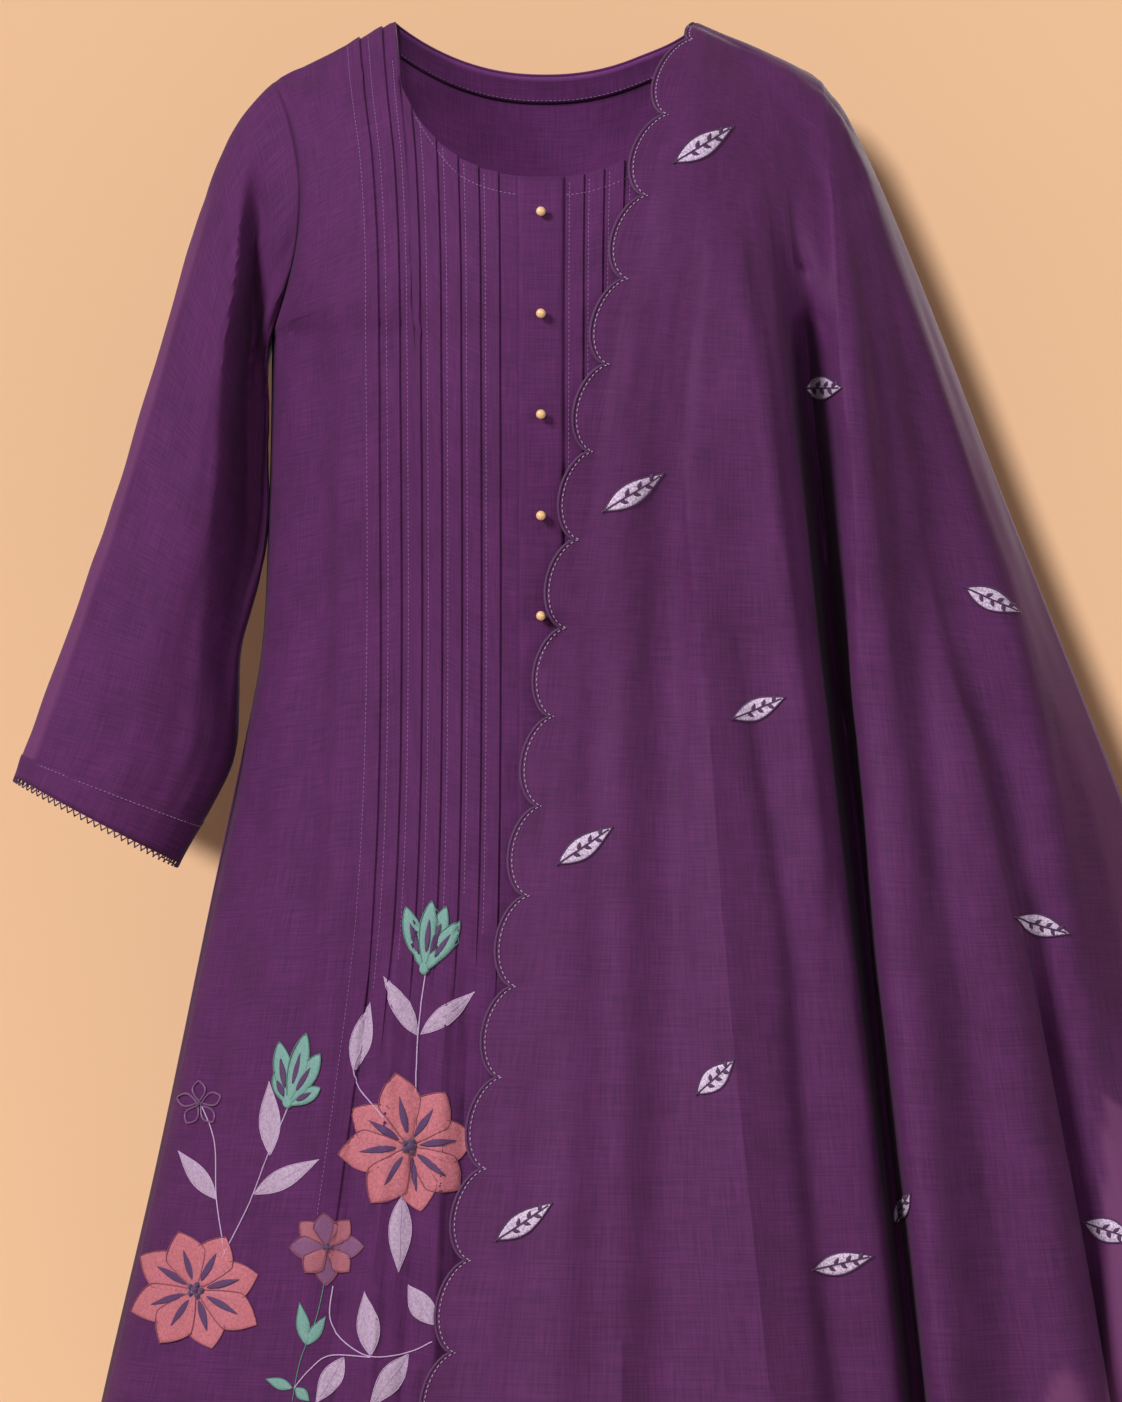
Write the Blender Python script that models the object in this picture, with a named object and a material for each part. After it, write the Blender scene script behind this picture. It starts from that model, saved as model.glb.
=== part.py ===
"""Kurti set: a pin-tucked A-line kurti, filled out with no wearer, and the dupatta that hangs over its left shoulder.

Metres, +Z up. The front faces -Y and the wearer's left is +X. The origin is midway between the two neck points,
where the wearer's shoulders hold the garment. A depth is how far cloth stands in front of, or behind, the XZ plane.
"""

import math

import bmesh
import bpy
from mathutils import Vector

# Cloth
WALL = 0.0015
SEAM_GAP = 0.0005
RIDGE_GAP = 0.0014  # where two walls meet at the shoulder's ridge
UNDERARM_GAP = 0.0019
LAY = 0.0035  # how far the middle of the dupatta's wall stays off the kurti's

# Neck and shoulders
NECK_HALF = 0.099
NECK_FRONT_DROP = 0.110
NECK_BACK_DROP = 0.030
NECK_FRONT_POWER = 2.3
NECK_BACK_POWER = 2.2
SHOULDER_HALF = 0.178
SHOULDER_DROP = 0.039
SHOULDER_PRESS = 0.003
FRONT_RISE = 0.20  # how far below the shoulder the chest reaches its full depth
BACK_RISE = 0.15
RISE_POWER = 1.6
SECTION_POWER = 2.3
SECTION_ROOT = 1.8

# Armholes: half an ellipse from the shoulder tip to the underarm, scooped towards the neck
UNDERARM_HALF = 0.1805
UNDERARM_Z = -0.205
ARMHOLE_SCOOP = 0.019
ARMHOLE_FRONT = 0.050
ARMHOLE_BACK = 0.054

# Body below the underarm
KURTI_HEM_Z = -1.12
BODY_COLUMNS = ("z", "half_width", "front", "back")
BODY = (
    (-0.205, 0.1805, 0.121, 0.108),
    (-0.260, 0.1810, 0.124, 0.106),
    (-0.320, 0.1825, 0.119, 0.101),
    (-0.410, 0.1870, 0.113, 0.098),
    (-0.475, 0.1985, 0.116, 0.104),
    (-0.576, 0.2200, 0.128, 0.121),
    (-0.754, 0.2570, 0.146, 0.142),
    (-0.903, 0.2915, 0.158, 0.155),
    (-1.120, 0.3380, 0.174, 0.171),
)

# Pin tucks on each side of the placket, stitched to the hip and let out below it
TUCKS_A_SIDE = 7
TUCK_FIRST = 0.0145
TUCK_PITCH = 0.0119
TUCK_SPREAD = 0.00012
TUCK_HEIGHT = 0.0013
TUCK_STEP = 0.0006
TUCK_FULL_Z = -0.56
TUCK_END_Z = -0.68
TUCK_ZONE = 0.1115
TUCK_FLARE = (  # z, width of the tucked zone as a share
    (0.000, 1.160),
    (-0.050, 1.110),
    (-0.100, 1.050),
    (-0.180, 1.010),
    (-0.450, 1.000),
    (-0.580, 1.040),
    (-0.690, 1.150),
    (-0.900, 1.420),
    (-1.120, 1.750),
)

# Placket and buttons
PLACKET_X = -0.0023
PLACKET_WIDTH = 0.029
PLACKET_END_Z = -0.56
PLACKET_WALL = 0.001
BUTTONS = 5
BUTTON_TOP_Z = -0.135
BUTTON_PITCH = 0.0645
BUTTON_LAST_Z = BUTTON_TOP_Z - (BUTTONS - 1) * BUTTON_PITCH
BUTTON_RADIUS = 0.0031
FACING_WIDTH = 0.014
FACING_HALF = 0.083
FACING_LAY = 0.0026
FACING_STEPS = 16

# Soft flutes of the skirt. across is a share of the half width, from -1 at the wearer's right side
FRONT_FLUTES = (  # across, spread, height, start_z
    (-0.90, 0.09, 0.012, -0.50),
    (-0.66, 0.10, 0.014, -0.38),
    (-0.36, 0.09, 0.011, -0.66),
    (-0.04, 0.10, 0.010, -0.70),
    (0.34, 0.10, 0.010, -0.66),
    (0.72, 0.10, 0.012, -0.45),
)
BACK_FLUTES = (  # across, spread, height, start_z
    (-0.84, 0.09, 0.012, -0.48),
    (-0.55, 0.10, 0.016, -0.36),
    (-0.20, 0.10, 0.018, -0.42),
    (0.14, 0.10, 0.016, -0.38),
    (0.50, 0.10, 0.017, -0.44),
    (0.82, 0.09, 0.012, -0.50),
)

# Sleeve: a row for each ring, its outermost and innermost points, half depth and inward scoop.
# The crease runs from the cap down to the inside of the elbow, at an angle round the ring.
SLEEVE_COLUMNS = (
    "outer_x", "outer_z", "inner_x", "inner_z", "half_depth", "scoop", "crease_angle", "crease",
)
SLEEVE = (
    (0.1780, -0.039, 0.1805, -0.205, 0.050, 0.019, 50, 0.00),
    (0.2025, -0.067, 0.1838, -0.232, 0.052, 0.010, 60, 0.25),
    (0.2180, -0.101, 0.1838, -0.256, 0.051, 0.003, 82, 0.55),
    (0.2370, -0.160, 0.1846, -0.288, 0.050, 0.000, 100, 0.80),
    (0.2725, -0.279, 0.1870, -0.345, 0.047, 0.000, 118, 0.85),
    (0.3025, -0.368, 0.2010, -0.415, 0.045, 0.000, 128, 0.35),
    (0.3345, -0.457, 0.2060, -0.485, 0.043, 0.000, 140, 0.00),
    (0.3490, -0.497, 0.2410, -0.554, 0.040, 0.000, 140, 0.00),
)
CREASE_SPREAD = 26
LEFT_SLIM = 0.005  # the covered sleeve is pressed in by this much at its cap
LACE_DEPTH = 0.0052

# Dupatta: the line that it makes over the shoulder and down the arm
DUPATTA_OUTLINE = (  # z, x
    (0.0003, 0.0985),
    (-0.0083, 0.1180),
    (-0.0149, 0.1345),
    (-0.0215, 0.1490),
    (-0.0281, 0.1628),
    (-0.0336, 0.1745),
    (-0.0398, 0.1818),
    (-0.0479, 0.1884),
    (-0.0545, 0.1942),
    (-0.0611, 0.1982),
    (-0.0677, 0.2022),
    (-0.1010, 0.2180),
    (-0.1600, 0.2427),
    (-0.2200, 0.2665),
    (-0.3090, 0.3005),
    (-0.3980, 0.3360),
    (-0.5100, 0.3800),
    (-0.5600, 0.3960),
    (-0.6500, 0.4130),
    (-0.8000, 0.4300),
    (-1.1000, 0.4450),
)
DUPATTA_EDGE = (  # z, front_x, back_x
    (0.001, 0.0985, 0.0985),
    (-0.020, 0.0930, 0.0930),
    (-0.079, 0.0750, 0.0860),
    (-0.136, 0.0610, 0.0800),
    (-0.245, 0.0365, 0.0720),
    (-0.357, 0.0180, 0.0650),
    (-0.471, 0.0020, 0.0590),
    (-0.643, -0.0225, 0.0510),
    (-0.876, -0.0610, 0.0420),
    (-1.100, -0.0990, 0.0350),
)
DUPATTA_HEM_Z = -1.10
DUPATTA_BACK_HEM_Z = -0.94
TOP_EASE = 0.0005
PLACKET_LIFT = 0.0028
BUTTON_LIFT = 0.0065
BUTTON_BUMP = 0.011
FOLD_FLOOR = 0.020
TIP_X = 0.182
SHOULDER_LEVEL = -0.045
RIDGE_AT_NECK = 0.018
RIDGE_ON_ARM = 0.054
OUTER_START = 0.2022
WAIST_LEVEL = -0.45
FOLD_START_Z = -0.075
FOLD_FULL_Z = -0.36
DRAPE_POWER = 2.6
SPREAD_CHEST = 0.006
SPREAD_HEM = 0.026
CUFF_Z = -0.53
SELVAGE_PART = 0.006  # how far the two selvages part below the cuff

# Folds of the dupatta from its scalloped edge to the arm. x is on the shoulder line, at the waist and at the hem.
# sink is the share of the way down to the cloth beneath, proud stands out of the plain drape, each at waist and hem.
FOLD_COLUMNS = (
    "x_start", "x_waist", "x_hem", "sink_waist", "sink_hem", "proud_waist", "proud_hem",
)
FRONT_FOLDS = {
    "lap": (0.1060, 0.040, 0.010, 0.50, 0.40, 0.000, 0.004),
    "breast_trough": (0.1105, 0.080, 0.100, 0.70, 0.75, 0.000, 0.000),
    "crease_ridge": (0.1150, 0.1015, 0.1585, 0.00, 0.00, 0.005, 0.011),
    "side_trough": (0.1195, 0.144, 0.198, 0.30, 0.75, 0.000, 0.000),
    "side_ridge": (0.1240, 0.163, 0.228, 0.00, 0.00, 0.004, 0.009),
    "lip": (0.1290, 0.1795, 0.250, 0.10, 0.12, 0.000, 0.000),
    "lip_side": (0.1340, 0.1845, 0.254, 0.50, 0.50, 0.000, 0.000),
    "cleft_near": (0.1390, 0.1885, 0.258, 1.00, 1.00, 0.000, 0.000),
    "cleft": (0.1440, 0.194, 0.263, 1.00, 1.00, 0.000, 0.000),
}
ARM_FOLDS = {
    "cleft": (0.1440, 0.194, 0.263, 1.00, 1.00, 0.000, 0.000),
    "cleft_far": (0.1500, 0.1985, 0.268, 1.00, 1.00, 0.000, 0.000),
    "fold_side": (0.1640, 0.2015, 0.271, 0.50, 0.50, 0.000, 0.000),
    "fold_edge": (0.1800, 0.2045, 0.275, 0.05, 0.05, 0.000, 0.002),
    "arm_ridge": (0.1840, 0.222, 0.286, 0.00, 0.00, 0.008, 0.012),
    "arm_hollow": (0.1880, 0.240, 0.332, 0.30, 0.50, 0.000, 0.000),
    "knife_ridge": (0.1915, 0.2603, 0.378, 0.20, 0.00, 0.000, 0.008),
    "knife_trough": (0.1950, 0.276, 0.394, 0.60, 0.75, 0.000, 0.000),
    "outer_ridge": (0.1990, 0.318, 0.420, 0.10, 0.15, 0.000, 0.000),
}
BACK_FOLDS = {
    "outer_ridge": (0.1990, 0.330, 0.418, 0.05, 0.10, 0.000, 0.004),
    "outer_trough": (0.1950, 0.300, 0.385, 0.45, 0.65, 0.000, 0.000),
    "arm_ridge": (0.1880, 0.270, 0.345, 0.00, 0.00, 0.006, 0.010),
    "arm_trough": (0.1780, 0.236, 0.300, 0.50, 0.70, 0.000, 0.000),
    "side_ridge": (0.1650, 0.206, 0.258, 0.00, 0.00, 0.004, 0.010),
    "side_trough": (0.1490, 0.176, 0.214, 0.55, 0.75, 0.000, 0.000),
    "blade_ridge": (0.1330, 0.145, 0.168, 0.00, 0.00, 0.005, 0.010),
    "blade_trough": (0.1200, 0.114, 0.120, 0.60, 0.75, 0.000, 0.000),
    "lap": (0.1080, 0.086, 0.076, 0.20, 0.20, 0.003, 0.008),
}

# Scalloped borders
SCALLOP_PITCH = 0.0567
SCALLOP_DEPTH = 0.015
BORDER_STEM = 0.004
SCALLOP_STEPS = 4

# How finely the walls are divided
BODY_ROWS = 11
ARMHOLE_STEPS = 10
SIDE_COLUMNS = 4
BACK_COLUMNS = 8
SLEEVE_ROWS = 13
DUPATTA_ROWS = 18
BACK_FALL_ROWS = 14
STATION_STEPS = 3

PURPLE = (0.092, 0.026, 0.094, 1)
DEEP_PURPLE = (0.075, 0.020, 0.078, 1)
PEARL = (0.76, 0.52, 0.30, 1)


def clamp(value, low=0.0, high=1.0):
    return max(low, min(high, value))


def ease(value):
    """0 to 1 with a soft start and end."""
    value = clamp(value)
    return value * value * (3 - 2 * value)


def mix(a, b, share):
    return a + (b - a) * share


def bell(value):
    return math.exp(-value * value)


def soft_max(a, b, blend=0.004):
    """The larger of two, with no corner where they cross."""
    return 0.5 * (a + b + math.sqrt((a - b) ** 2 + blend * blend))


def along(table, value, column, key=0):
    """A table's column at a value of its key column, on a curve through the rows."""
    rows = sorted(table, key=lambda row: row[key])
    value = clamp(value, rows[0][key], rows[-1][key])
    i = 0
    while i < len(rows) - 2 and value > rows[i + 1][key]:
        i += 1

    def slope(k):
        low, high = rows[max(k - 1, 0)], rows[min(k + 1, len(rows) - 1)]
        return (high[column] - low[column]) / (high[key] - low[key])

    step = rows[i + 1][key] - rows[i][key]
    t = (value - rows[i][key]) / step
    return (
        (2 * t**3 - 3 * t**2 + 1) * rows[i][column]
        + (t**3 - 2 * t**2 + t) * step * slope(i)
        + (3 * t**2 - 2 * t**3) * rows[i + 1][column]
        + (t**3 - t**2) * step * slope(i + 1)
    )


def body(name, z):
    return along(BODY, z, BODY_COLUMNS.index(name))


def armhole_share(z):
    """Height in the armhole, from 1 at the shoulder tip to -1 at the underarm."""
    middle = (UNDERARM_Z - SHOULDER_DROP) / 2
    return clamp((z - middle) / (-SHOULDER_DROP - middle), -1, 1)


def half_width(z):
    """Half the width of a panel: to the armhole's edge, or to the side seam below it."""
    if z < UNDERARM_Z:
        return body("half_width", z)
    share = armhole_share(z)
    return mix(UNDERARM_HALF, SHOULDER_HALF, (share + 1) / 2) - ARMHOLE_SCOOP * (1 - share * share)


def armhole_depth(z, deepest):
    if z < UNDERARM_Z:
        return 0.0
    return deepest * math.sqrt(1 - armhole_share(z) ** 2)


def shoulder_press(x):
    """How far the dupatta presses the left shoulder down, near the neck."""
    return SHOULDER_PRESS * ease((x - 0.06) / 0.035) * ease((0.165 - x) / 0.05)


def shoulder_z(x):
    """Height of the shoulder seam, level across the neck."""
    return -SHOULDER_DROP * clamp((abs(x) - NECK_HALF) / (SHOULDER_HALF - NECK_HALF)) - shoulder_press(x)


def rise(drop, reach):
    share = clamp(drop / reach)
    return (1 - (1 - share) ** RISE_POWER) ** (1 / RISE_POWER)


def flutes(table, x, z):
    width = half_width(z)
    total = 0.0
    for across, spread, height, start_z in table:
        growth = ease((start_z - z) / (start_z - KURTI_HEM_Z))
        away = (x / width - across) / spread
        total += height * growth * (bell(away) - 0.5 * bell(away / 2.2))
    return total


def panel_depth(x, z, front=True):
    """How far the kurti's front or back stands off the XZ plane."""
    share = clamp(abs(x) / half_width(z))
    reach = FRONT_RISE if front else BACK_RISE
    centre = body("front" if front else "back", min(z, UNDERARM_Z)) * rise(shoulder_z(x) - z, reach)
    edge = min(armhole_depth(z, ARMHOLE_FRONT if front else ARMHOLE_BACK), centre)
    crown = (1 - share**SECTION_POWER) ** (1 / SECTION_ROOT)
    return mix(edge, centre + flutes(FRONT_FLUTES if front else BACK_FLUTES, x, z), crown)


def neck_z(x, front=True):
    """Height of a panel's top edge: the neckline, or the shoulder seam beside it."""
    share = abs(x) / NECK_HALF
    if share >= 1:
        return shoulder_z(x)
    if front:
        drop = NECK_FRONT_DROP * (1 - share**NECK_FRONT_POWER) ** (1 / NECK_FRONT_POWER)
    else:
        drop = NECK_BACK_DROP * (1 - share**NECK_BACK_POWER)
    return -drop - shoulder_press(x)


def column_x(cut_x, z):
    """Where a line down the cloth lies at a height: straight in the tucks, fanning out beside them."""
    inner = TUCK_ZONE * along(TUCK_FLARE, z, 1)
    if abs(cut_x) <= TUCK_ZONE:
        return cut_x / TUCK_ZONE * inner
    share = (abs(cut_x) - TUCK_ZONE) / (SHOULDER_HALF - TUCK_ZONE)
    return math.copysign(mix(inner, half_width(z), share), cut_x)


def panel_rows():
    """Heights shared by the panels, with those of the armhole set where the sleeve's ring has its points."""
    middle = (UNDERARM_Z - SHOULDER_DROP) / 2
    reach = -SHOULDER_DROP - middle
    heights = [middle + reach * math.cos(math.pi * k / ARMHOLE_STEPS) for k in range(ARMHOLE_STEPS + 1)]
    for k in range(1, BODY_ROWS + 1):
        heights.append(mix(UNDERARM_Z, KURTI_HEM_Z, (k / BODY_ROWS) ** 1.1))
    return heights


def tuck_columns():
    """Cut positions of the tucks: each has the high point of its fold and, a step on, the low point beside it."""
    columns = []
    for side in (-1, 1):
        for k in range(1, TUCKS_A_SIDE + 1):
            fold = PLACKET_X + side * (TUCK_FIRST + TUCK_PITCH * k + TUCK_SPREAD * k * k)
            columns += [(fold - TUCK_STEP, 1.0), (fold, 0.0)]
    return columns


def front_columns():
    """Cut positions across the front, each with its share of a tuck's height."""
    neck_cut = NECK_HALF / TUCK_FLARE[0][1]
    plain = [side * (neck_cut - inset) for side in (-1, 1) for inset in (0.0, 0.0035)]
    plain += [PLACKET_X, PLACKET_X - PLACKET_WIDTH / 2, PLACKET_X + PLACKET_WIDTH / 2]
    for k in range(SIDE_COLUMNS):
        cut = mix(SHOULDER_HALF, TUCK_ZONE, k / SIDE_COLUMNS)
        plain += [-cut, cut]
    columns = tuck_columns()
    columns += [(cut, None) for cut in plain]
    columns.sort()
    heights = []
    for i, (cut, height) in enumerate(columns):
        if height is None:
            height = tuck_share(cut)
        heights.append((cut, height))
    return heights


def tuck_share(cut):
    """A tuck's height at a cut position: it rises from nothing beside one fold to its full height at the next."""
    folds = sorted(fold for fold, height in tuck_columns() if height)
    before = [fold for fold in folds if fold < cut]
    after = [fold for fold in folds if fold >= cut]
    if not after:
        return 0.0
    start = before[-1] + TUCK_STEP if before else after[0] - TUCK_PITCH
    if after[0] - start > 2 * TUCK_PITCH:
        start = after[0] - TUCK_PITCH
    return clamp((cut - start) / (after[0] - start))


def raised_depth(x, z, front, lift):
    """Depth of a surface that stands off the panel by lift, also where the panel turns over the shoulder."""
    lower = min(z - lift, shoulder_z(x))
    nearer = math.copysign(max(abs(x) - lift, 0.0), x)
    return max(panel_depth(x, min(z, shoulder_z(x)), front), panel_depth(nearer, lower, front)) + lift


def column_line(cut, front, hem_z=KURTI_HEM_Z):
    """Points of one line down a panel, from its top edge to the hem."""
    top = 0.0
    for _ in range(8):
        top = neck_z(column_x(cut, top), front)
    points = []
    for z in panel_rows():
        height = top + (z + SHOULDER_DROP) / (hem_z + SHOULDER_DROP) * (hem_z - top)
        if abs(cut) > SHOULDER_HALF - 1e-6:
            height = z
        x = column_x(cut, height)
        depth = panel_depth(x, height, front)
        points.append(Vector((x, -depth if front else depth, height)))
    return points


def grid_normals(grid, closed):
    """A unit normal at each point of a grid of rows."""
    rows, columns = len(grid), len(grid[0])
    normals = []
    for i in range(rows):
        line = []
        for j in range(columns):
            left, right = (j - 1, j + 1) if closed else (max(j - 1, 0), min(j + 1, columns - 1))
            across = grid[i][right % columns] - grid[i][left]
            down = grid[min(i + 1, rows - 1)][j] - grid[max(i - 1, 0)][j]
            line.append(across.cross(down).normalized())
        normals.append(line)
    return normals


def wall(name, grid, material, facing, closed=False, thickness=WALL, proud=None):
    """A closed wall about a grid of points. proud lifts its outer points only, over a plain inside."""
    normals = grid_normals(grid, closed)
    mesh = bmesh.new()
    faces = []
    for side in (1, -1):
        layer = []
        for i, row in enumerate(grid):
            line = []
            for j, point in enumerate(row):
                lift = proud[i][j] if proud and side > 0 else 0.0
                offset = normals[i][j] * facing * (side * thickness / 2 + lift)
                line.append(mesh.verts.new(point + offset))
            layer.append(line)
        faces.append(layer)
    outer, inner = faces
    rows, columns = len(grid), len(grid[0])
    spans = columns if closed else columns - 1
    for i in range(rows - 1):
        for j in range(spans):
            k = (j + 1) % columns
            mesh.faces.new((outer[i][j], outer[i][k], outer[i + 1][k], outer[i + 1][j]))
            mesh.faces.new((inner[i][j], inner[i + 1][j], inner[i + 1][k], inner[i][k]))
    for i in (0, rows - 1):
        for j in range(spans):
            k = (j + 1) % columns
            mesh.faces.new((outer[i][j], outer[i][k], inner[i][k], inner[i][j]))
    if not closed:
        for j in (0, columns - 1):
            for i in range(rows - 1):
                mesh.faces.new((outer[i][j], outer[i + 1][j], inner[i + 1][j], inner[i][j]))
    bmesh.ops.recalc_face_normals(mesh, faces=mesh.faces)
    return add_object(name, mesh, material)


def add_object(name, mesh, material):
    data = bpy.data.meshes.new(name)
    mesh.to_mesh(data)
    mesh.free()
    data.shade_smooth()
    data.set_sharp_from_angle(angle=math.radians(35))
    data.materials.append(material)
    made = bpy.data.objects.new(name, data)
    bpy.data.collections["kurti_set"].objects.link(made)
    return made


def cloth(name, colour, roughness, metallic=0.0):
    """A Principled material, or the one of that name made before."""
    made = bpy.data.materials.get(name)
    if made is None:
        made = bpy.data.materials.new(name)
        made.use_nodes = True
        shader = made.node_tree.nodes["Principled BSDF"]
        shader.inputs["Base Color"].default_value = colour
        shader.inputs["Roughness"].default_value = roughness
        shader.inputs["Metallic"].default_value = metallic
    return made


def transposed(lines):
    return [list(row) for row in zip(*lines)]


def inset_edges(grid, gap, columns=True, rows=False):
    """The grid with its outer lines pulled in by a seam's gap."""
    grid = [[point.copy() for point in row] for row in grid]
    if columns:
        for row in grid:
            row[0] += (row[1] - row[0]).normalized() * gap
            row[-1] += (row[-2] - row[-1]).normalized() * gap
    if rows:
        for j in range(len(grid[0])):
            grid[0][j] += (grid[1][j] - grid[0][j]).normalized() * RIDGE_GAP
    return grid


def kurti_front():
    columns = front_columns()
    grid = transposed([column_line(cut, True) for cut, _ in columns])
    proud = []
    for row in grid:
        fade = [1 - ease((TUCK_FULL_Z - point.z) / (TUCK_FULL_Z - TUCK_END_Z)) for point in row]
        proud.append([TUCK_HEIGHT * share * fade[j] for j, (_, share) in enumerate(columns)])
    grid = inset_edges(grid, SEAM_GAP, rows=True)
    return wall("kurti_front", grid, cloth("kurti_cotton", PURPLE, 0.85), -1, proud=proud)


def kurti_back():
    cuts = [mix(-SHOULDER_HALF, SHOULDER_HALF, k / (2 * BACK_COLUMNS)) for k in range(2 * BACK_COLUMNS + 1)]
    cuts = [math.copysign(SHOULDER_HALF * (1 - (1 - abs(cut) / SHOULDER_HALF) ** 1.15), cut) for cut in cuts]
    neck_cut = NECK_HALF / TUCK_FLARE[0][1]
    cuts = sorted(cuts + [-neck_cut, neck_cut])
    grid = transposed([column_line(cut, False) for cut in cuts])
    grid = inset_edges(grid, SEAM_GAP, rows=True)
    return wall("kurti_back", grid, cloth("kurti_cotton", PURPLE, 0.85), 1)


def panel_point(x, z, lift, front=True):
    """A point that stands off a panel by lift, square to it. A negative lift is inside."""
    step = 0.0008
    across = (panel_depth(x + step, z, front) - panel_depth(x - step, z, front)) / (2 * step)
    down = (panel_depth(x, z + step, front) - panel_depth(x, z - step, front)) / (2 * step)
    outward = Vector((-across, 1, -down)).normalized() * lift
    point = Vector((x, panel_depth(x, z, front), z)) + outward
    if front:
        point.y = -point.y
    return point


def back_neck_facing():
    """The shaped band inside the back neck."""
    lines = []
    for k in range(FACING_STEPS + 1):
        x = FACING_HALF * math.cos(math.pi * k / FACING_STEPS)
        top = min(neck_z(x, False), shoulder_z(x)) - 0.0035
        heights = [top - FACING_WIDTH * share for share in (0.0, 0.33, 0.66, 1.0)]
        lines.append([panel_point(x, z, -FACING_LAY, False) for z in heights])
    return wall("back_neck_facing", transposed(lines), cloth("kurti_cotton", PURPLE, 0.85), 1, thickness=0.001)


def front_point(cut, z, lift):
    """A point that stands off the kurti's front by lift."""
    return panel_point(column_x(cut, z), z, lift)


def placket():
    lines = []
    steps = 12
    inset = 0.0012
    for k in range(5):
        cut = PLACKET_X + PLACKET_WIDTH * (k / 4 - 0.5)
        top = neck_z(cut) - inset
        heights = [mix(top, PLACKET_END_Z, (i / steps)) for i in range(steps + 1)]
        lift = WALL / 2 + TUCK_HEIGHT + PLACKET_WALL / 2 + 0.0004
        lines.append([front_point(cut, z, lift) for z in heights])
    return wall("placket", transposed(lines), cloth("kurti_cotton", PURPLE, 0.85), -1, thickness=PLACKET_WALL)


def button(number):
    """A small round pearl, its underside flat on the placket."""
    z = BUTTON_TOP_Z - BUTTON_PITCH * number
    lift = WALL / 2 + TUCK_HEIGHT + PLACKET_WALL + 0.0008
    centre = front_point(PLACKET_X, z, lift + BUTTON_RADIUS * 0.8)
    mesh = bmesh.new()
    bmesh.ops.create_uvsphere(mesh, u_segments=12, v_segments=8, radius=BUTTON_RADIUS)
    for vert in mesh.verts:
        vert.co.y = min(vert.co.y, BUTTON_RADIUS * 0.7)
    bmesh.ops.remove_doubles(mesh, verts=mesh.verts, dist=0.00005)
    made = add_object(f"button_{number + 1}", mesh, cloth("button_pearl", PEARL, 0.3))
    made.location = centre
    return made


def sleeve_value(name, share):
    """A sleeve column at a share of the way from armhole to cuff."""
    place = share * (len(SLEEVE) - 1)
    rows = [(k, *row) for k, row in enumerate(SLEEVE)]
    return along(rows, place, 1 + SLEEVE_COLUMNS.index(name))


def sleeve_point(side, share, angle):
    """A point of the sleeve. angle is 0 at its outermost line, 90 in front and 180 at the inner seam."""
    slim = LEFT_SLIM * bell((share - 0.24) / 0.22) if side > 0 else 0.0
    outer_x = sleeve_value("outer_x", share) - slim
    outer_z = sleeve_value("outer_z", share) - slim * 0.5
    inner_x, inner_z = sleeve_value("inner_x", share), sleeve_value("inner_z", share)
    cosine, sine = math.cos(math.radians(angle)), math.sin(math.radians(angle))
    along_ring = (1 + cosine) / 2
    scoop = sleeve_value("scoop", share) * (1 - cosine * cosine)
    deepest = sleeve_value("half_depth", share)
    if sine < 0:
        deepest = mix(ARMHOLE_BACK, deepest, clamp(share * 5))
    else:
        crease = sleeve_value("crease", share) * ease(
            (angle - sleeve_value("crease_angle", share) + CREASE_SPREAD) / (2 * CREASE_SPREAD)
        )
        deepest *= 1 - crease * (1 - 0.8 * ease((angle - 150) / 30))
    x = mix(inner_x, outer_x, along_ring) - scoop
    z = mix(inner_z, outer_z, along_ring)
    return Vector((side * x, -deepest * sine, z))


def sleeve(name, side):
    ring = 2 * ARMHOLE_STEPS
    grid = []
    for i in range(SLEEVE_ROWS + 1):
        share = (i / SLEEVE_ROWS) ** 1.15
        grid.append([sleeve_point(side, share, 360 * j / ring) for j in range(ring)])
    for j in range(ring):
        under = (1 - math.cos(2 * math.pi * j / ring)) / 2
        grid[0][j] += (grid[1][j] - grid[0][j]).normalized() * RIDGE_GAP
        grid[0][j].x += side * UNDERARM_GAP * under
        grid[1][j].x += side * UNDERARM_GAP * under * 0.5
    return wall(name, grid, cloth("kurti_cotton", PURPLE, 0.85), side, closed=True)


def cuff_lace(name, side):
    """The loop lace at a cuff, as a plain band of its depth."""
    ring = 2 * ARMHOLE_STEPS
    grid = []
    for drop in (0.0004, LACE_DEPTH):
        line = []
        for j in range(ring):
            angle = 360 * j / ring
            end = sleeve_point(side, 1.0, angle)
            down = (end - sleeve_point(side, 0.96, angle)).normalized()
            line.append(end + down * drop)
        grid.append(line)
    return wall(name, grid, cloth("lace_thread", DEEP_PURPLE, 0.8), side, closed=True, thickness=0.0012)


def outline_x(z):
    return along(DUPATTA_OUTLINE, z, 1)


def outline_z(x):
    return along(DUPATTA_OUTLINE, x, 0, key=1)


def sleeve_clear(x, z):
    """How far the left sleeve stands off the XZ plane, as the dupatta over it meets it."""
    cuff = SLEEVE[-1]
    if x < half_width(z) - 0.004 or z < cuff[3]:
        return 0.0
    rows = [(row[1], row[0]) for row in SLEEVE]
    outer = along(rows, z, 1)
    if z > UNDERARM_Z:
        inner, edge = half_width(z), armhole_depth(z, ARMHOLE_BACK)
    else:
        inner, edge = along([(row[3], row[2]) for row in SLEEVE], z, 1), 0.0
    middle, reach = (inner + outer) / 2, max((outer - inner) / 2, 0.001)
    round_depth = 0.052 * ease((SHOULDER_LEVEL - z) / 0.1) * math.sqrt(clamp(1 - ((x - middle) / reach) ** 2))
    toward = clamp((x - inner) / (2 * reach))
    return max(round_depth, edge * math.sqrt(clamp(1 - toward * toward)))


def dupatta_top(x):
    """Height of the dupatta's line over the shoulder, held level past the shoulder tip and inside the neck."""
    return outline_z(min(x, TIP_X))


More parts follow.
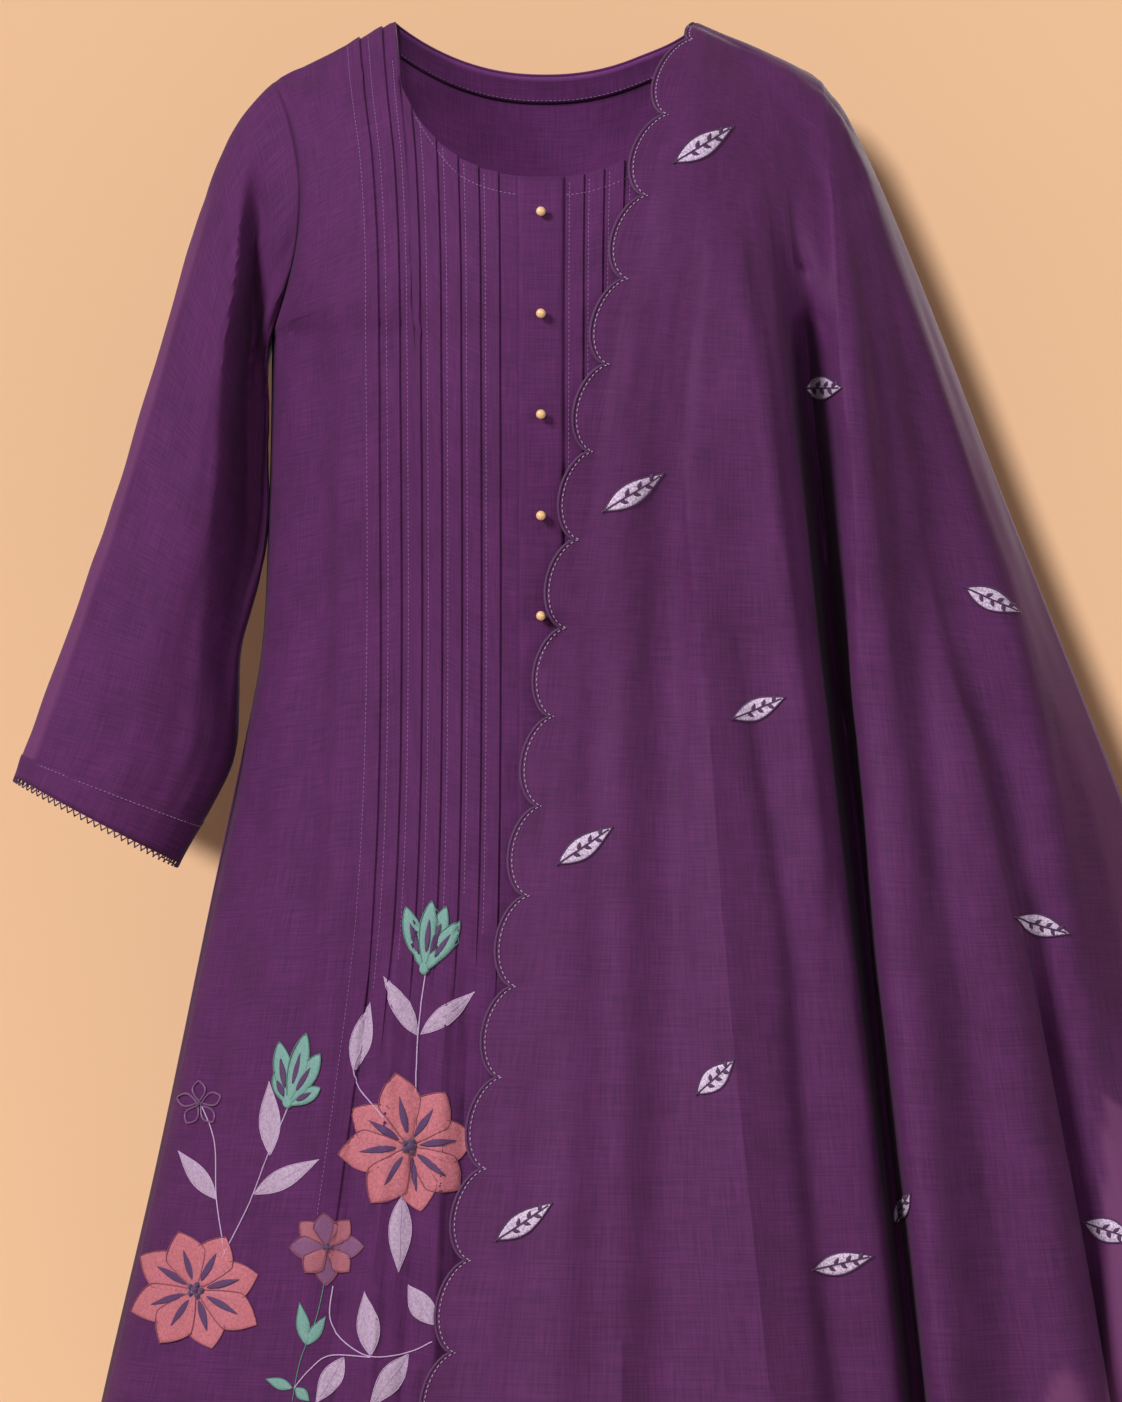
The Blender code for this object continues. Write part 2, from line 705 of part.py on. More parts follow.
def line_distance(x, z):
    """How far a point lies inside the dupatta's line, square to it."""
    beside, below = outline_x(z) - x, outline_z(x) - z
    if beside <= 0 or below <= 0:
        return 0.0
    return beside * below / math.hypot(beside, below)


def drape_depths(x, z, front):
    """The dupatta's plain drape and the least depth that clears the kurti, at a point."""
    inside = line_distance(x, z)
    full = body("front" if front else "back", min(z, UNDERARM_Z))
    full += mix(SPREAD_CHEST, SPREAD_HEM, ease((-0.2 - z) / 0.8))
    crown = (1 - clamp(abs(x) / outline_x(z)) ** DRAPE_POWER) ** 0.5
    radius = mix(RIDGE_AT_NECK, RIDGE_ON_ARM, ease((x - NECK_HALF) / (SHOULDER_HALF - NECK_HALF)))
    inner = min(inside, radius)
    plain = max(
        full * rise(dupatta_top(x) - z, FRONT_RISE if front else BACK_RISE) * crown,
        math.sqrt(2 * radius * inner - inner * inner),
    )
    under = 0.0
    if abs(x) < half_width(z) and z < shoulder_z(x) + LAY:
        under = raised_depth(x, z, front, LAY) + PLACKET_LIFT * bell((x - PLACKET_X) / PLACKET_WIDTH)
    if front:
        under += BUTTON_LIFT * bell(math.hypot(x - PLACKET_X, z - BUTTON_LAST_Z) / BUTTON_BUMP)
    under = max(under, sleeve_clear(x, z) + LAY, FOLD_FLOOR * ease((dupatta_top(x) - z) / 0.1))
    least = under * ease(inside / 0.006)
    return soft_max(plain, least) if inside > 0.006 else max(plain, least), least


def fold_value(row, name, z):
    """A fold's x, sink or proud at a height, on a curve from its start on the shoulder to the waist and the hem."""
    column = FOLD_COLUMNS.index
    if name == "x":
        start = row[column("x_start")]
        levels = (
            (DUPATTA_HEM_Z, row[column("x_hem")]),
            (WAIST_LEVEL, row[column("x_waist")]),
            (outline_z(start), start),
        )
        return along(levels, z, 1)
    growth = ease((FOLD_START_Z - z) / (FOLD_START_Z - FOLD_FULL_Z))
    down = clamp((WAIST_LEVEL - z) / (WAIST_LEVEL - DUPATTA_HEM_Z))
    return growth * mix(row[column(name + "_waist")], row[column(name + "_hem")], down)


def drape_point(x, z, sink, proud, front):
    plain, least = drape_depths(x, z, front)
    depth = max(mix(plain, least, sink) + proud, 0.0)
    return Vector((x, -depth if front else depth, z))


def edge_x(z, front):
    return along(DUPATTA_EDGE, z, 1 if front else 2)


def edge_point(z, inset, front):
    """A point near the dupatta's scalloped edge, which lies close on the kurti."""
    return drape_point(edge_x(z, front) + inset, z, 0.85 * ease((TOP_EASE - z) / 0.1), 0.0, front)


def edge_station(front):
    """Where the line inside the scalloped border starts on the shoulder, and the line as a function of height."""
    return edge_x(TOP_EASE, front) + BORDER_STEM, lambda z: edge_point(z, BORDER_STEM, front)


def outer_station(front):
    """The same for the line over the shoulder and down the arm, where the front and back falls meet."""

    def outer_point(z):
        part = SELVAGE_PART * ease((CUFF_Z - z) / 0.1) + SEAM_GAP
        return Vector((outline_x(z), -part if front else part, z))

    return OUTER_START, outer_point


def fold_stations(folds, front):
    """The same for each named fold of a fall, in order across it."""
    stations = []
    for row in folds.values():

        def fold_line(z, row=row):
            x = fold_value(row, "x", z)
            return drape_point(x, z, fold_value(row, "sink", z), fold_value(row, "proud", z), front)

        stations.append((row[0], fold_line))
    return stations


def curve_through(points, steps):
    """Points on a smooth curve through the given ones."""
    made = []
    last = len(points) - 1
    for i in range(last):
        a, b, c, d = points[max(i - 1, 0)], points[i], points[i + 1], points[min(i + 2, last)]
        for k in range(steps):
            t = k / steps
            made.append(
                0.5
                * (2 * b + (c - a) * t + (2 * a - 5 * b + 4 * c - d) * t * t + (3 * b - a - 3 * c + d) * t**3)
            )
    made.append(points[-1])
    return made


def fall_grid(stations, rows, hem_z, steps=STATION_STEPS):
    """Rows of points down a fall, each line of it starting at its own height on the shoulder."""
    grid = []
    for i in range(rows + 1):
        share = (i / rows) ** 1.9
        points = []
        for start_x, line in stations:
            top = outline_z(start_x)
            z = mix(top, hem_z, share)
            points.append(line(z))
        grid.append(curve_through(points, steps))
    return grid


def scallop(distance, pitch):
    """How far a scalloped border reaches out, at a distance along it."""
    share = distance / pitch
    share -= math.floor(share)
    return SCALLOP_DEPTH * math.sqrt(max(0.0, 1 - (2 * share - 1) ** 2)) ** 1.2


def scalloped_edge(name, stem, front):
    """The scalloped border along a fall's edge. stem is the fall's own line there."""
    length = sum((b - a).length for a, b in zip(stem, stem[1:]))
    pitch = length / round(length / SCALLOP_PITCH)
    grid = []
    gone = 0.0
    for i, (a, b) in enumerate(zip(stem, stem[1:])):
        span = (b - a).length
        steps = max(1, round(span / pitch * SCALLOP_STEPS))
        last = i == len(stem) - 2
        for k in range(steps + last):
            on_stem = a.lerp(b, k / steps)
            reach = scallop(gone + span * k / steps, pitch)
            z = on_stem.z
            out = edge_point(z, -reach, front) - edge_point(z, BORDER_STEM, front)
            grid.append([on_stem + out.normalized() * 2 * SEAM_GAP, on_stem + out])
        gone += span
    return wall(name, grid, cloth("dupatta_voile", PURPLE, 0.75), 1 if front else -1)


def dupatta():
    """Three falls that meet over the shoulder, down the arm and in the deep fold, and their scalloped borders."""
    edges = [edge_station(True)] + fold_stations(FRONT_FOLDS, True)
    front = fall_grid(edges, DUPATTA_ROWS, DUPATTA_HEM_Z)
    arm = fall_grid(fold_stations(ARM_FOLDS, True) + [outer_station(True)], DUPATTA_ROWS, DUPATTA_HEM_Z)
    edges = [outer_station(False)] + fold_stations(BACK_FOLDS, False) + [edge_station(False)]
    back = fall_grid(edges, BACK_FALL_ROWS, DUPATTA_BACK_HEM_Z)
    for front_row, arm_row in zip(front, arm):
        front_row[-1] += (front_row[-2] - front_row[-1]).normalized() * SEAM_GAP
        arm_row[0] += (arm_row[1] - arm_row[0]).normalized() * SEAM_GAP
    for grid in (front, arm, back):
        for j in range(len(grid[0])):
            grid[0][j] += (grid[1][j] - grid[0][j]).normalized() * RIDGE_GAP
    voile = cloth("dupatta_voile", PURPLE, 0.75)
    wall("dupatta_front_fall", front, voile, -1)
    wall("dupatta_arm_fall", arm, voile, -1)
    wall("dupatta_back_fall", back, voile, -1)
    scalloped_edge("dupatta_edge_front", [row[0] for row in front], True)
    scalloped_edge("dupatta_edge_back", [row[-1] for row in back], False)


def main():
    for existing in list(bpy.data.objects):
        bpy.data.objects.remove(existing)
    collection = bpy.data.collections.new("kurti_set")
    bpy.context.scene.collection.children.link(collection)
    kurti_front()
    kurti_back()
    back_neck_facing()
    placket()
    for number in range(BUTTONS):
        button(number)
    sleeve("sleeve_right", -1)
    sleeve("sleeve_left", 1)
    cuff_lace("cuff_lace_right", -1)
    cuff_lace("cuff_lace_left", 1)
    dupatta()


main()
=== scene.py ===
"""Kurti set: a pin-tucked kurti with an applique spray, and the scalloped dupatta over its left shoulder.

Metres, +Z up, the front faces -Y, and the origin is midway between the neck points. The forms repeat the
solids' own.
"""

import functools
import math
import random

import bmesh
import bpy
import numpy as np
from mathutils import Matrix, Vector, noise
from mathutils.bvhtree import BVHTree


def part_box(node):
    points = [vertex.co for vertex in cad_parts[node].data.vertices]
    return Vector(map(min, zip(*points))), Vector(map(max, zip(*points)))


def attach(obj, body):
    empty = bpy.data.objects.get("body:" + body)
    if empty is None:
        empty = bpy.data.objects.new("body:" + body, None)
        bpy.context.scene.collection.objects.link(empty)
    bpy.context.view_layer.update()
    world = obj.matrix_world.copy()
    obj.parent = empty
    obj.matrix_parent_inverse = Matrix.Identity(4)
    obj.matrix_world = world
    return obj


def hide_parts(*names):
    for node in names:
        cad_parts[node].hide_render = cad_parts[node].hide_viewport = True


bl_info = {
    "name": "Kurti set",
    "version": (1, 0, 0),
    "blender": (4, 5, 0),
    "location": "3D View > Sidebar > Kurti set",
    "description": "Builds a pin-tucked kurti and its scalloped dupatta",
    "category": "Object",
}

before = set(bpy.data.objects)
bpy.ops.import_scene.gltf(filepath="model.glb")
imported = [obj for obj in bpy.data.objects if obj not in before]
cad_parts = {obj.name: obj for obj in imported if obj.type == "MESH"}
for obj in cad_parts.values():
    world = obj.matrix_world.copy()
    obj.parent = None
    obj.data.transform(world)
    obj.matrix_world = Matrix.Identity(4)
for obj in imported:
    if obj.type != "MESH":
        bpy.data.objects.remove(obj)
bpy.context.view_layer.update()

# Neck and shoulders
NECK_HALF = 0.099
NECK_FRONT_DROP = 0.110
NECK_BACK_DROP = 0.030
NECK_FRONT_POWER = 2.3
NECK_BACK_POWER = 2.2
SHOULDER_HALF = 0.178
SHOULDER_DROP = 0.039
SHOULDER_PRESS = 0.003
FRONT_RISE = 0.20
BACK_RISE = 0.15
RISE_POWER = 1.6
SECTION_POWER = 2.3
SECTION_ROOT = 1.8

# Armholes
UNDERARM_HALF = 0.1805
UNDERARM_Z = -0.205
ARMHOLE_SCOOP = 0.019
ARMHOLE_FRONT = 0.050
ARMHOLE_BACK = 0.054

# Body below the underarm
KURTI_HEM_Z = -1.12
BODY_COLUMNS = ("z", "half_width", "front", "back")
BODY = (
    (-0.205, 0.1805, 0.121, 0.108),
    (-0.260, 0.1810, 0.124, 0.106),
    (-0.320, 0.1825, 0.119, 0.101),
    (-0.410, 0.1870, 0.113, 0.098),
    (-0.475, 0.1985, 0.116, 0.104),
    (-0.576, 0.2200, 0.128, 0.121),
    (-0.754, 0.2570, 0.146, 0.142),
    (-0.903, 0.2915, 0.158, 0.155),
    (-1.120, 0.3380, 0.174, 0.171),
)

# Pin tucks: each is a fold pressed towards the wearer's left, which ends at its own height
TUCK_FIRST = 0.0145
TUCK_PITCH = 0.0119
TUCK_SPREAD = 0.00012
TUCK_FADE = 0.09
TUCK_ENDS = (-0.62, -0.60, -0.63, -0.61, -0.64, -0.66, -0.80)  # from the placket outwards
TUCK_PROFILE = (  # distance from the fold's edge, share of the tuck's height
    (-0.00025, 1.00),
    (0.00025, -0.35),
    (0.0011, -0.22),
    (0.0024, 0.08),
    (0.0033, 0.02),
    (0.0043, 0.20),
    (0.0068, 0.48),
    (0.0095, 0.80),
)
TUCK_STITCH = 0.0086  # from a fold's edge back to its stitches
TUCK_ZONE = 0.1115
TUCK_FLARE = (  # z, width of the tucked zone as a share
    (0.000, 1.160),
    (-0.050, 1.110),
    (-0.100, 1.050),
    (-0.180, 1.010),
    (-0.450, 1.000),
    (-0.580, 1.040),
    (-0.690, 1.150),
    (-0.900, 1.420),
    (-1.120, 1.750),
)

# Placket and buttons
PLACKET_X = -0.0023
PLACKET_WIDTH = 0.029
PLACKET_END_Z = -0.56
BUTTONS = 5
BUTTON_TOP_Z = -0.135
BUTTON_PITCH = 0.0645
BUTTON_LAST_Z = BUTTON_TOP_Z - (BUTTONS - 1) * BUTTON_PITCH
BUTTON_RADIUS = 0.0031
FACING_WIDTH = 0.0165
FACING_HALF = 0.096
FACING_LAY = 0.0009

# Soft flutes of the skirt
FRONT_FLUTES = (  # across, spread, height, start_z
    (-0.90, 0.09, 0.012, -0.50),
    (-0.66, 0.10, 0.014, -0.38),
    (-0.36, 0.09, 0.011, -0.66),
    (-0.04, 0.10, 0.010, -0.70),
    (0.34, 0.10, 0.010, -0.66),
    (0.72, 0.10, 0.012, -0.45),
)
BACK_FLUTES = (  # across, spread, height, start_z
    (-0.84, 0.09, 0.012, -0.48),
    (-0.55, 0.10, 0.016, -0.36),
    (-0.20, 0.10, 0.018, -0.42),
    (0.14, 0.10, 0.016, -0.38),
    (0.50, 0.10, 0.017, -0.44),
    (0.82, 0.09, 0.012, -0.50),
)

# Sleeves
SLEEVE_COLUMNS = (
    "outer_x", "outer_z", "inner_x", "inner_z", "half_depth", "scoop", "crease_angle", "crease",
)
SLEEVE = (
    (0.1780, -0.039, 0.1805, -0.205, 0.050, 0.019, 50, 0.00),
    (0.2025, -0.067, 0.1838, -0.232, 0.052, 0.010, 62, 0.30),
    (0.2180, -0.101, 0.1828, -0.256, 0.051, 0.003, 92, 0.80),
    (0.2370, -0.160, 0.1826, -0.288, 0.050, 0.000, 105, 0.96),
    (0.2725, -0.279, 0.1842, -0.345, 0.047, 0.000, 120, 0.96),
    (0.3025, -0.368, 0.2010, -0.415, 0.045, 0.000, 134, 0.40),
    (0.3345, -0.457, 0.2060, -0.485, 0.043, 0.000, 140, 0.00),
    (0.3490, -0.497, 0.2410, -0.554, 0.040, 0.000, 140, 0.00),
)
CREASE_SPREAD = 17
LEFT_SLIM = 0.005
HEM_BAND = 0.945  # where the sleeve's hem band starts, as a share of its length

# Dupatta
DUPATTA_OUTLINE = (  # z, x
    (0.0003, 0.0985),
    (-0.0083, 0.1180),
    (-0.0149, 0.1345),
    (-0.0215, 0.1490),
    (-0.0281, 0.1628),
    (-0.0336, 0.1745),
    (-0.0398, 0.1818),
    (-0.0479, 0.1884),
    (-0.0545, 0.1942),
    (-0.0611, 0.1982),
    (-0.0677, 0.2022),
    (-0.1010, 0.2180),
    (-0.1600, 0.2427),
    (-0.2200, 0.2665),
    (-0.3090, 0.3005),
    (-0.3980, 0.3360),
    (-0.5100, 0.3800),
    (-0.5600, 0.3960),
    (-0.6500, 0.4130),
    (-0.8000, 0.4300),
    (-1.1000, 0.4450),
)
DUPATTA_EDGE = (  # z, front_x, back_x
    (0.001, 0.0985, 0.0985),
    (-0.020, 0.0930, 0.0930),
    (-0.079, 0.0750, 0.0860),
    (-0.136, 0.0610, 0.0800),
    (-0.245, 0.0365, 0.0720),
    (-0.357, 0.0180, 0.0650),
    (-0.471, 0.0020, 0.0590),
    (-0.643, -0.0225, 0.0510),
    (-0.876, -0.0610, 0.0420),
    (-1.100, -0.0990, 0.0350),
)
DUPATTA_HEM_Z = -1.10
DUPATTA_BACK_HEM_Z = -0.94
LAY = 0.0035
TOP_EASE = 0.0005
PLACKET_LIFT = 0.0028
BUTTON_LIFT = 0.0065
BUTTON_BUMP = 0.011
FOLD_FLOOR = 0.020
TIP_X = 0.182
SHOULDER_LEVEL = -0.045
RIDGE_AT_NECK = 0.018
RIDGE_ON_ARM = 0.054
OUTER_START = 0.2022
WAIST_LEVEL = -0.45
FOLD_START_Z = -0.075
FOLD_FULL_Z = -0.26
DRAPE_POWER = 2.6
SPREAD_CHEST = 0.006
SPREAD_HEM = 0.026
CUFF_Z = -0.53
SELVAGE_PART = 0.006
FOLD_COLUMNS = (
    "x_start", "x_waist", "x_hem", "sink_waist", "sink_hem", "proud_waist", "proud_hem",
)
FRONT_FOLDS = {
    "lap": (0.1060, 0.040, 0.010, 0.50, 0.40, 0.000, 0.004),
    "breast_trough": (0.1105, 0.080, 0.100, 0.40, 0.45, 0.000, 0.000),
    "crease_ridge": (0.1150, 0.1015, 0.1585, 0.10, 0.10, 0.000, 0.004),
    "side_trough": (0.1195, 0.144, 0.198, 0.10, 0.42, 0.000, 0.000),
    "side_ridge": (0.1240, 0.163, 0.228, 0.10, 0.55, 0.002, 0.000),
    "lip": (0.1290, 0.1795, 0.250, 0.18, 0.55, 0.000, 0.000),
    "lip_side": (0.1340, 0.1835, 0.254, 0.62, 0.80, 0.000, 0.000),
    "cleft_near": (0.1390, 0.1885, 0.258, 1.00, 1.00, 0.000, 0.000),
    "cleft": (0.1440, 0.194, 0.263, 1.00, 1.00, 0.000, 0.000),
}
ARM_FOLDS = {
    "cleft": (0.1440, 0.194, 0.263, 1.00, 1.00, 0.000, 0.000),
    "cleft_far": (0.1500, 0.1985, 0.268, 0.86, 1.00, 0.000, 0.000),
    "fold_side": (0.1640, 0.2015, 0.271, 0.32, 0.50, 0.000, 0.000),
    "fold_edge": (0.1800, 0.2045, 0.275, 0.05, 0.05, 0.000, 0.002),
    "arm_ridge": (0.1840, 0.222, 0.286, 0.00, 0.00, 0.004, 0.005),
    "arm_hollow": (0.1880, 0.240, 0.332, 0.12, 0.10, 0.000, 0.000),
    "knife_ridge": (0.1915, 0.2603, 0.378, 0.20, 0.00, 0.000, 0.006),
    "knife_trough": (0.1950, 0.280, 0.394, 0.46, 0.40, 0.000, 0.000),
    "outer_ridge": (0.1990, 0.318, 0.418, 0.10, 0.10, 0.000, 0.004),
}
BACK_FOLDS = {
    "outer_ridge": (0.1990, 0.330, 0.418, 0.05, 0.10, 0.000, 0.004),
    "outer_trough": (0.1950, 0.300, 0.385, 0.45, 0.65, 0.000, 0.000),
    "arm_ridge": (0.1880, 0.270, 0.345, 0.00, 0.00, 0.006, 0.010),
    "arm_trough": (0.1780, 0.236, 0.300, 0.50, 0.70, 0.000, 0.000),
    "side_ridge": (0.1650, 0.206, 0.258, 0.00, 0.00, 0.004, 0.010),
    "side_trough": (0.1490, 0.176, 0.214, 0.55, 0.75, 0.000, 0.000),
    "blade_ridge": (0.1330, 0.145, 0.168, 0.00, 0.00, 0.005, 0.010),
    "blade_trough": (0.1200, 0.114, 0.120, 0.60, 0.75, 0.000, 0.000),
    "lap": (0.1080, 0.086, 0.076, 0.20, 0.20, 0.003, 0.008),
}
SCALLOP_FIRST = 0.0135
SCALLOP_PITCH = 0.0553
SCALLOP_GROWTH = 0.0045
SCALLOP_DEPTH = 0.0150
BORDER_STEM = 0.004

# Creases and soft folds. Each row is: a line of (z, x) points from its upper end down, on the
# plane Y = 0 as the camera sees it; its height; how far it spreads to the left and to the right; the length
# over which it fades in; and whether it is crisp, and comes to an edge.
DUPATTA_CREASES = (
    (((-0.25, 0.088), (-0.302, 0.0924), (-0.434, 0.1044), (-0.609, 0.1188), (-0.767, 0.1327),
      (-0.907, 0.146)),
     0.0050, 0.0050, 0.0150, 0.10, True),
    (((-0.24, 0.082), (-0.302, 0.0810), (-0.408, 0.080), (-0.579, 0.080), (-0.810, 0.078), (-1.00, 0.076)),
     -0.0070, 0.018, 0.016, 0.14, False),
    (((-0.36, 0.124), (-0.513, 0.150), (-0.602, 0.165), (-0.732, 0.175), (-0.897, 0.194), (-1.00, 0.206)),
     -0.0085, 0.010, 0.020, 0.14, False),
    (((-0.10, 0.118), (-0.220, 0.137), (-0.303, 0.148), (-0.44, 0.166), (-0.56, 0.180)),
     0.0065, 0.020, 0.0085, 0.08, False),
    (((-0.30, 0.026), (-0.42, 0.032), (-0.62, 0.036), (-0.90, 0.034)), -0.0034, 0.014, 0.014, 0.14, False),
    (((-0.12, 0.058), (-0.34, 0.052), (-0.50, 0.050)), 0.0024, 0.014, 0.012, 0.10, False),
    (((-0.50, 0.052), (-0.70, 0.052), (-0.98, 0.050)), 0.0022, 0.007, 0.007, 0.14, False),
    (((-0.62, 0.002), (-0.80, -0.012), (-1.02, -0.030)), -0.0030, 0.010, 0.012, 0.14, False),
    (((-0.66, 0.020), (-0.84, 0.012), (-1.02, 0.000)), 0.0022, 0.008, 0.008, 0.14, False),
)
ARM_CREASES = (
    (((-0.075, 0.1848), (-0.230, 0.1967), (-0.303, 0.2046), (-0.42, 0.209)),
     0.0040, 0.0040, 0.0170, 0.05, True),
    (((-0.38, 0.254), (-0.444, 0.2667), (-0.617, 0.3023), (-0.814, 0.3413), (-0.911, 0.3564), (-1.00, 0.370)),
     0.0150, 0.0260, 0.0190, 0.12, True),
    (((-0.28, 0.246), (-0.42, 0.251), (-0.52, 0.257)), -0.0034, 0.010, 0.010, 0.10, False),
    (((-0.50, 0.214), (-0.66, 0.226), (-0.85, 0.250), (-1.00, 0.272)), 0.0032, 0.010, 0.018, 0.12, False),
    (((-0.30, 0.290), (-0.45, 0.318), (-0.58, 0.344)), 0.0024, 0.010, 0.010, 0.12, False),
    (((-0.62, 0.3920), (-0.80, 0.3880), (-1.00, 0.3860)), 0.0170, 0.0130, 0.0160, 0.12, False),
)
KURTI_CREASES = (
    (((-0.56, -0.1150), (-0.66, -0.1190), (-0.80, -0.1330), (-0.90, -0.1400), (-1.00, -0.150)),
     -0.0034, 0.0060, 0.0024, 0.05, True),
    (((-0.60, -0.0960), (-0.72, -0.1040), (-0.92, -0.116)), 0.0038, 0.0055, 0.0040, 0.06, False),
    (((-0.62, -0.0800), (-0.74, -0.0860), (-0.94, -0.096)), -0.0038, 0.0050, 0.0040, 0.06, False),
    (((-0.60, -0.0640), (-0.72, -0.0680), (-0.90, -0.074)), 0.0032, 0.0050, 0.0036, 0.06, False),
    (((-0.60, -0.0500), (-0.72, -0.0530), (-0.92, -0.058)), -0.0034, 0.0050, 0.0040, 0.06, False),
    (((-0.62, -0.0350), (-0.74, -0.0370), (-0.94, -0.040)), 0.0030, 0.0050, 0.0040, 0.06, False),
    (((-0.16, -0.1560), (-0.34, -0.1500), (-0.55, -0.160), (-0.78, -0.190), (-1.00, -0.222)),
     -0.0070, 0.013, 0.013, 0.10, False),
    (((-0.22, -0.1320), (-0.42, -0.1330), (-0.60, -0.138), (-0.84, -0.158)),
     0.0045, 0.010, 0.011, 0.10, False),
    (((-0.46, -0.1850), (-0.62, -0.2080), (-0.84, -0.246), (-1.02, -0.276)),
     -0.0065, 0.013, 0.013, 0.10, False),
    (((-0.56, -0.1700), (-0.76, -0.1820), (-1.02, -0.212)), 0.0045, 0.011, 0.011, 0.10, False),
)
BACK_CREASES = (
    (((-0.30, -0.060), (-0.55, -0.068), (-0.80, -0.082), (-1.04, -0.098)), 0.0060, 0.014, 0.012, 0.16, False),
    (((-0.40, 0.046), (-0.62, 0.052), (-0.86, 0.062), (-1.04, 0.070)), 0.0050, 0.012, 0.014, 0.16, False),
    (((-0.34, -0.150), (-0.58, -0.172), (-0.84, -0.206), (-1.04, -0.230)),
     -0.0055, 0.014, 0.014, 0.16, False),
    (((-0.46, 0.000), (-0.74, 0.000), (-1.04, 0.002)), -0.0050, 0.014, 0.012, 0.16, False),
    (((-0.12, -0.100), (-0.22, -0.118), (-0.36, -0.124)), 0.0030, 0.014, 0.012, 0.08, False),
    (((-0.50, 0.150), (-0.76, 0.186), (-1.04, 0.224)), 0.0050, 0.014, 0.014, 0.16, False),
)

# The spray of flowers on the kurti, on the plane Y = 0 as the camera sees it
CAMERA_AT = Vector((0.0106, -4.5, -0.448))
CAMERA_HEIGHT = 0.9253  # how much of the plane Y = 0 the view takes in, from top to bottom
LILAC_LEAVES = (  # base x, base z, tip x, tip z, half width
    (-0.0842, -0.6690, -0.1060, -0.6300, 0.0062),
    (-0.0818, -0.6681, -0.0458, -0.6399, 0.0060),
    (-0.1263, -0.6921, -0.1148, -0.6471, 0.0071),
    (-0.0945, -0.7750, -0.0968, -0.8251, 0.0076),
    (-0.1808, -0.7480, -0.1815, -0.6990, 0.0070),
    (-0.1918, -0.7737, -0.1488, -0.7506, 0.0066),
    (-0.2162, -0.7770, -0.2415, -0.7449, 0.0060),
    (-0.1148, -0.8800, -0.1187, -0.8379, 0.0072),
    (-0.0735, -0.8596, -0.0903, -0.8332, 0.0078),
    (-0.1322, -0.8812, -0.1512, -0.9115, 0.0072),
    (-0.0896, -0.8790, -0.1165, -0.9150, 0.0078),
)
MINT_LEAVES = (
    (-0.1574, -0.8730, -0.1617, -0.8451, 0.0042),
    (-0.1570, -0.8730, -0.1448, -0.8542, 0.0038),
    (-0.1665, -0.9014, -0.1839, -0.8955, 0.0036),
    (-0.1643, -0.9014, -0.1554, -0.9100, 0.0036),
)
MINT_BUDS = (  # base, then the petals' tips
    ((-0.0795, -0.6270), ((-0.0915, -0.5840), (-0.0648, -0.5838), (-0.0744, -0.5800), (-0.0557, -0.5935))),
    ((-0.1689, -0.7153), ((-0.1778, -0.6929), (-0.1748, -0.6731), (-0.1478, -0.7034), (-0.1478, -0.6810),
                          (-0.1564, -0.6675))),
)
CORAL_FLOWERS = (  # x, z, petals' length, their half width, turn in degrees, petals
    (-0.2294, -0.8371, 0.0425, 0.0138, 14, 8),
    (-0.0895, -0.7420, 0.0462, 0.0146, 8, 8),
)
SHEER_FLOWERS = ((-0.1440, -0.8086, 0.0240, 0.0078, 2, 8),)
OUTLINE_FLOWER = (-0.2273, -0.7140, 0.0150, 0.0042, 20, 5)
STEMS = (
    ((-0.0788, -0.6285), (-0.0842, -0.6704), (-0.0854, -0.7125)),
    ((-0.1263, -0.6922), (-0.1224, -0.7034), (-0.1059, -0.7230)),
    ((-0.1689, -0.7156), (-0.1838, -0.7516), (-0.1943, -0.7786), (-0.2123, -0.8146)),
    ((-0.2259, -0.7156), (-0.2174, -0.7395), (-0.2162, -0.7770), (-0.2108, -0.8130)),
    ((-0.1399, -0.8341), (-0.1419, -0.8550), (-0.1329, -0.8701), (-0.1149, -0.8806), (-0.0908, -0.8781),
     (-0.0743, -0.8709)),
    ((-0.1149, -0.8812), (-0.1419, -0.8800), (-0.1554, -0.8895), (-0.1653, -0.9014)),
    ((-0.1149, -0.8800), (-0.1160, -0.8620), (-0.1180, -0.8420)),
)
MINT_STEMS = (((-0.1455, -0.8308), (-0.1508, -0.8550), (-0.1613, -0.8836), (-0.1665, -0.9100)),)

# Leaves embroidered on the dupatta, on the plane Y = 0 as the camera sees it
DUPATTA_LEAVES = (  # stem's end x and z, tip x and z, half width
    (0.0858, -0.0929, 0.1241, -0.0691, 0.0070),
    (0.1710, -0.2414, 0.1967, -0.2414, 0.0076),
    (0.0390, -0.3226, 0.0786, -0.2975, 0.0070),
    (0.2773, -0.3734, 0.3135, -0.3899, 0.0068),
    (0.1235, -0.4599, 0.1591, -0.4454, 0.0068),
    (0.0086, -0.5556, 0.0449, -0.5312, 0.0070),
    (0.3102, -0.5912, 0.3465, -0.6018, 0.0068),
    (0.1010, -0.7074, 0.1254, -0.6850, 0.0072),
    (-0.0316, -0.8037, 0.0053, -0.7793, 0.0070),
    (0.1763, -0.8235, 0.2166, -0.8143, 0.0070),
    (0.2300, -0.7930, 0.2420, -0.7725, 0.0050),
    (0.3564, -0.7919, 0.3900, -0.8040, 0.0074),
)
BACK_LEAVES = (
    (0.1200, -0.1500, 0.1560, -0.1340, 0.0070),
    (0.2350, -0.2900, 0.2710, -0.2760, 0.0070),
    (0.1150, -0.4200, 0.1510, -0.4050, 0.0070),
    (0.2900, -0.5300, 0.3240, -0.5420, 0.0070),
    (0.1500, -0.6600, 0.1860, -0.6450, 0.0070),
    (0.3100, -0.7700, 0.3460, -0.7820, 0.0070),
    (0.1000, -0.8500, 0.1360, -0.8350, 0.0070),
)

